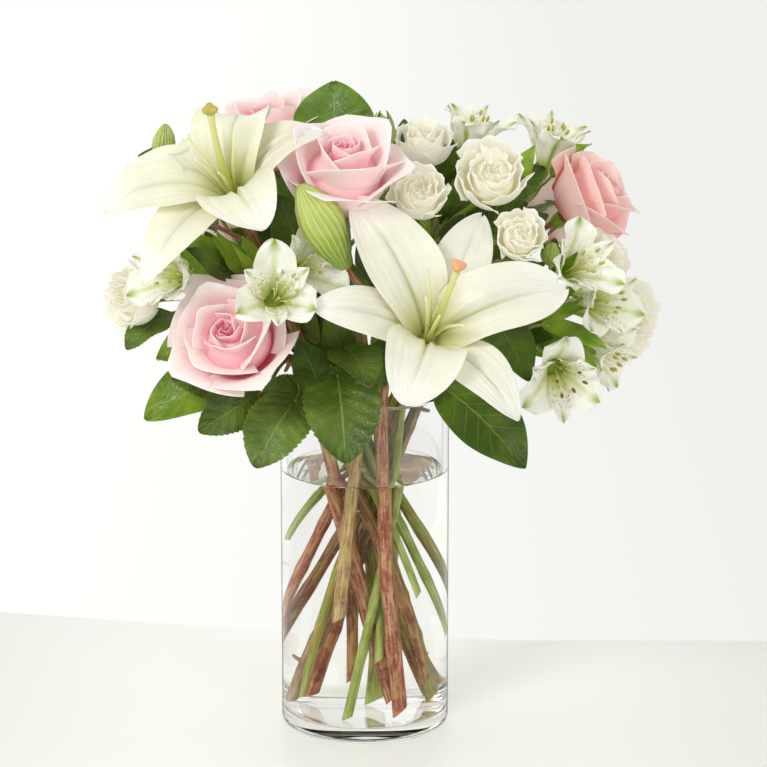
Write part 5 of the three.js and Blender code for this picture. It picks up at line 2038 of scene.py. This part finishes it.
    @staticmethod
    def folded(half: float, pairs: float, s: Array, t: Array, _: Array) -> Array:
        """The lift of a leaf: a fold along its midrib, and quilting between its side veins.

        Args:
            half: Half its width.
            pairs: How many pairs of side veins it has.
            s: Places across.
            t: Places along.

        Returns:
            The lift in mm.
        """
        fold = 0.1 * half * (np.abs(s) - 0.4) * smooth(0, 0.2, t)
        quilt = 0.042 * half * np.cos(2 * np.pi * (pairs * t - 1.8 * np.abs(s) ** 0.85)) * (1 - s**2)
        return fold - (quilt if pairs else 0.0) + 0.05 * half * np.sin(5 * t + 2 * s)

    def bud(self, place: BudPlace) -> list[Shape]:
        """A closed bud on its stalk: a long ribbed one on a lily, a rosebud with sepals on a spray.

        Args:
            place: Where it is, and its size.

        Returns:
            The bud and its stalk.
        """
        line = Bezier((place.root, place.tip))
        r = place.radius
        if self.kind() == "lily":
            rings = tuple((t, share * r, swell) for t, share, swell in LILY_BUD)
            found = Tube(line, rings, BUD_GREEN, 48, lobes=3).shapes()
            return found + self.grown(place.knot, line, 0.2 * r, STEM_RED)
        found = Tube(line, tuple((t, share * r) for t, share in ROSE_BUD), BUD_GREEN, 20).shapes()
        way = np.array(place.tip) - np.array(place.root)
        long, aim = float(np.linalg.norm(way)), unit(way)
        turn, tilt = math.degrees(math.atan2(aim[0], -aim[1])), math.degrees(math.asin(aim[2]))
        stand = Stand(place.root, turn, tilt, r)
        blade = Blade(0.55 * r, SEPAL, (0.7, 0.8), (0.06, 0.06), 0.2, thick=0.5, rows=12, columns=6)
        outline = [(out * r, up * long) for out, up in BUD_SEPAL]
        for i in range(5):
            found.append(blade.petal(72 * i, outline, 0.4).placed(stand))
        return found + self.grown(place.knot, line, 0.2 * r, STEM_GREEN)

    def shapes(self) -> list[Shape]:
        """All of the shoot.

        Returns:
            Its shapes.
        """
        tint = (sum(map(ord, self.name)) % 17) / 17
        kind, _, place = self.name.partition("_")
        found = self.stem(tint)
        if kind == "rose":
            found += self.thorns(tint)
            rose = ROSES[place]
            hip = 0.075 * rose.size
            top = np.array(rose.root) - self.gap * rose.axis()
            line = Bezier((top - 4 * hip * rose.axis(), top))
            found += self.hip(line, hip, FEET[self.name].radius * 0.8, rose)
        for group, hip in ((SPRAY_ROSES, 0.08), (FLORETS, 0.0)):
            if kind == ("spray" if hip else "alstro"):
                for key, bloom in group.items():
                    if key.startswith(place):
                        found += self.branch(bloom, FEET[self.name].radius * 0.7, hip * bloom.size)
        for bud in BUDS:
            if bud.stem == self.name:
                found += self.bud(bud)
        for i, leaf in enumerate([*LEAVES.get(self.name, ()), *understory().get(self.name, ())]):
            found += self.leaf(leaf, ((i * 0.37 + tint) % 1) - 0.5)
        return found


# ======== Vase and water ========


@dataclass
class Vase:
    """The glass cylinder and its water, turned from profiles."""

    radius: float = 51.0
    bore: float = 47.5
    height: float = 210.0
    floor: float = 9.0
    heel: float = 3.0
    level: float = 159.5
    meniscus: float = 1.6
    sides: int = 160

    @staticmethod
    def corner(out: float, up: float, radius: float, first: float, last: float) -> list[Pair]:
        """Points round a corner, from one angle to another, in degrees."""
        angles = np.radians(np.linspace(first, last, 8))
        return [(out + radius * math.cos(a), up + radius * math.sin(a)) for a in angles]

    @staticmethod
    def braced(profile: Array, reach: float = 0.2) -> Array:
        """The profile with extra points close to the ends of its long stretches, for true normals there.

        Args:
            profile: The profile.
            reach: How far the extra points are from the ends.

        Returns:
            The new profile.
        """
        found = [profile[0]]
        for one, other in zip(profile[:-1], profile[1:]):
            long = float(np.linalg.norm(other - one))
            if long > 4 * reach:
                found += [one + (other - one) * reach / long, other - (other - one) * reach / long]
            found.append(other)
        return np.array(found)

    def turned(self, profile: Sequence[Pair], finish: Finish) -> Shape:
        """A body turned from a profile that starts and ends on the axis.

        Args:
            profile: Its points, out and up.
            finish: Its finish.

        Returns:
            The body.
        """
        outline = self.braced(np.array(profile, float))
        outline[[0, -1], 0] = 0.01
        angles = 2 * np.pi * np.arange(self.sides) / self.sides
        rows = len(outline)
        flat = [np.outer(outline[:, 0], way(angles)) for way in (np.cos, np.sin)]
        points = np.stack([*flat, np.repeat(outline[:, 1:], self.sides, 1)], -1).reshape(-1, 3)
        out, up = np.hypot(points[:, 0], points[:, 1]), points[:, 2]
        shore = self.level + self.meniscus + 0.01
        touching = (np.abs(out - self.bore) < 0.3) & (up > self.floor + 4.1) & (up < shore)
        face = np.where(touching, -1.0, 1.0)
        marks = np.stack([np.tile(angles / np.pi - 1, rows), up / self.height, face], 1)
        return Shape(points, walls(rows, self.sides).reshape(-1, 4), marks, finish)

    def glass(self) -> Shape:
        """The glass: a straight wall on a thick floor, slightly hollow below and domed above.

        Returns:
            The glass.
        """
        lip = (self.radius - self.bore) / 2
        profile = [(0, 0.9), (self.radius - 14, 0.6), (self.radius - 9, 0.0)]
        profile += self.corner(self.radius - self.heel - 1, self.heel + 1, self.heel + 1, -90, 0)
        profile += [(self.radius, 40), (self.radius, 120), (self.radius, self.height - lip)]
        profile += self.corner(self.radius - lip, self.height - lip, lip, 10, 170)
        shore = self.level + self.meniscus
        profile += [(self.bore, up) for up in (self.height - lip, shore + 0.1, shore, 40)]
        profile += self.corner(self.bore - 4, self.floor + 4, 4, 0, -90)
        profile += [(self.bore * 0.6, self.floor + 0.3), (0, self.floor + 0.8)]
        return self.turned(profile, GLASS)

    def water(self) -> Shape:
        """The water, which wets the glass and climbs it a little at its edge.

        Returns:
            The water.
        """
        wet = self.bore + 0.12
        profile = [(0, self.floor + 0.65), (self.bore * 0.6, self.floor + 0.15)]
        profile += [(self.bore - 4, self.floor - 0.12)]
        profile += self.corner(self.bore - 4, self.floor + 4, 4.12, -80, 0)
        profile += [(wet, 40), (wet, 120), (wet, self.level + self.meniscus)]
        steps = (0.05, 0.15, 0.3, 0.5, 0.75, 1.0)
        profile += [(wet - t * 4, self.level + self.meniscus * (1 - t) ** 2.2) for t in steps]
        profile += [(self.bore * 0.5, self.level), (0, self.level)]
        return self.turned(profile, WATER)

    def build(self) -> None:
        """Makes the two pieces."""
        for name, shape, slot, node in (
            ("vase_glass", self.glass(), "glass", "vase"),
            ("vase_water", self.water(), "water", "water"),
        ):
            Basket(name, [shape]).piece(slot, node)


# ======== The bunch ========

LILY_PETALS = {
    "front": (
        (7, 80, 43, 50, True),
        (58, 78, 44, 54, False),
        (117, 82, 51, 50, True),
        (173, 74, 46, 50, False),
        (241, 68, 41, 52, True),
        (297, 78, 36, 52, False),
    ),
    "left": (
        (315, 66, 42, 52, True),
        (38, 64, 37, 56, False),
        (92, 52, 22, 72, True),
        (147, 54, 21, 72, False),
        (207, 76, 30, 52, True),
        (254, 84, 27, 52, False),
    ),
    "back": (
        (10, 76, 40, 50, True),
        (70, 72, 40, 54, False),
        (130, 78, 42, 50, True),
        (190, 70, 38, 54, False),
        (250, 74, 40, 50, True),
        (310, 72, 36, 54, False),
    ),
}


@dataclass
class Bunch:
    """All the blooms and shoots."""

    def blooms(self) -> list[tuple[Bloom, str, str]]:
        """Every bloom with its slot and the node that it stands for.

        Returns:
            The blooms, slots and nodes.
        """
        found: list[tuple[Bloom, str, str]] = []
        for name, stand in LILIES.items():
            stigma = STIGMA_OCHRE if name == "left" else STIGMA
            found.append((Pistil(f"pistil_{name}", stand, stigma), "pistil", f"lily_{name}_pistil"))
            # The left lily takes the darker copy of the petal, partly painted shade.
            finish = LILY_CREAM_SHADED if name == "left" else LILY_PETAL
            petals = LilyPetals(f"petals_{name}", stand, LILY_PETALS[name], finish)
            found.append((petals, "lily_petal", f"lily_{name}_petals"))
        for name, stand in ROSES.items():
            salmon = name == "right"
            rose = Rose(f"bloom_rose_{name}", stand, ROSE_SALMON if salmon else ROSE_PINK)
            found.append((rose, "rose_salmon" if salmon else "rose_pink", f"rose_{name}"))
        for name, stand in SPRAY_ROSES.items():
            sizes = {"ruffle": 0.024, "crimps": 3.6, "thick": 0.4, "rows": 15, "uneven": 0.07}
            rose = Rose(f"bloom_spray_{name}", stand, SPRAY_IVORY, SPRAY_WHORLS, **sizes)
            found.append((rose, "spray_rose", f"spray_rose_{name}"))
        for name, stand in FLORETS.items():
            floret = Floret(f"bloom_floret_{name}", stand, ANTHER if name == "right_3" else ANTHER_GREEN)
            found.append((floret, "alstroemeria_petal", f"floret_{name}"))
        return found

    def shoots(self) -> list[tuple[Shoot, str]]:
        """Every shoot with its slot.

        Returns:
            The shoots and slots.
        """
        slots = {"lily": "lily_stem", "alstro": "soft_stem", "greens": "leaf"}
        greens = {"lily": LEAF_BRIGHT, "alstro": LEAF_STRAP, "greens": LEAF_DARK}
        found = []
        for name, course in StemWays().courses().items():
            kind = name.partition("_")[0]
            shoot = Shoot(name, course, greens.get(kind, LEAF_ROSE))
            found.append((shoot, slots.get(kind, "woody_stem")))
        return found

    def build(self) -> None:
        """Makes a piece for each bloom and each shoot."""
        for bloom, slot, node in self.blooms():
            placed = [shape.placed(bloom.stand) for shape in bloom.shapes()]
            Basket(bloom.name, placed).piece(slot, node)
        for shoot, slot in self.shoots():
            Basket(f"shoot_{shoot.name}", shoot.shapes()).piece(slot, f"stem_{shoot.name}")


# ======== The studio ========


@dataclass
class Studio:
    """The camera, the pale table, the backdrop's light and the lamps.

    The room in front is darker than the backdrop, and darker still where the glass mirrors it.
    """

    eye: Point = (0.0114, -2.0, 0.7142)
    pitch: float = 75.92
    lens: float = 160.5
    room: float = 0.52
    mirrored: float = 0.06
    sides: Pair = (-0.12, 0.12)
    depth: Pair = (-0.3, 0.5)
    bounces: int = 32

    def camera(self) -> None:
        """The camera at the photograph's viewing angle."""
        data = bpy.data.cameras.new("view")
        data.lens, data.sensor_width, data.clip_start = self.lens, 36.0, 0.05
        camera = bpy.data.objects.new("view", data)
        camera.location = self.eye
        camera.rotation_euler = Euler((math.radians(self.pitch), 0, 0))
        bpy.context.scene.collection.objects.link(camera)
        bpy.context.scene.camera = camera

    def table(self) -> None:
        """The table top, and the lit sweep behind its far edge."""
        edge = [(30, 0.0), (0.1, 0.15), (-0.06, 0.17), (-0.25, 0.211), (-30, 6.62)]
        corners = [(-30, -30, 0), (30, -30, 0), *((x, y, 0) for x, y in edge), (-30, 30, 0), (30, 30, 0)]
        mesh = bpy.data.meshes.new("table")
        mesh.from_pydata(corners, [], [(0, 1, 2, 3, 4, 5, 6), (7, 6, 5, 4, 3, 2, 8)])
        for finish in (TABLE, SWEEP):
            mesh.materials.append(finish.material())
        mesh.polygons[1].material_index = 1
        table = bpy.data.objects.new("table", mesh)
        bpy.context.scene.collection.objects.link(table)
        table.visible_glossy = False

    def backdrop(self) -> None:
        """Light from all round: a pale backdrop, weaker to the right, and a darker room in front."""
        world = bpy.data.worlds.new("studio")
        bpy.context.scene.world = world
        paint = Paint(world)
        way = paint.add("SeparateXYZ", {0: paint.add("TexCoord").outputs["Generated"]}).outputs
        mirror = paint.add("LightPath").outputs["Is Glossy Ray"]
        room = paint.ramp(mirror, (0.0, 1.0), (self.room, self.mirrored))
        tone = paint.times(paint.ramp(way[0], self.sides, TONES), paint.ramp(way[1], self.depth, (room, 1.0)))
        light = paint.add("Background", {"Color": linear(PALE), "Strength": tone}).outputs[0]
        paint.add("OutputWorld", {0: light})

    def lamp(self, name: str, place: Point, power: float, size: float, aim: Point = (0, 0, 0.25)) -> None:
        """A soft square lamp that looks at the bunch.

        Args:
            name: Its name.
            place: Where it is, in metres.
            power: Its power in watts.
            size: Its side in metres.
            aim: What it looks at.
        """
        data = bpy.data.lights.new(name, "AREA")
        data.energy, data.size = power, size
        lamp = bpy.data.objects.new(name, data)
        lamp.location = place
        lamp.rotation_euler = (Vector(aim) - Vector(place)).to_track_quat("-Z", "Y").to_euler()
        bpy.context.scene.collection.objects.link(lamp)

    def build(self) -> None:
        """Sets everything up."""
        self.camera()
        self.table()
        self.backdrop()
        self.lamp("key", (-1.3, -1.8, 1.5), 27, 0.8)
        self.lamp("fill", (1.3, -2.0, 0.9), 12, 1.2)
        bpy.context.scene.view_settings.view_transform = "Standard"
        cycles = bpy.context.scene.cycles
        cycles.max_bounces = cycles.transmission_bounces = cycles.transparent_max_bounces = self.bounces


def main() -> None:
    """Builds the studio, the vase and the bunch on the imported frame."""
    logging.basicConfig(level=logging.INFO, format="%(message)s")
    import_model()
    Studio().build()
    Vase().build()
    Bunch().build()


if __name__ == "__main__":
    main()
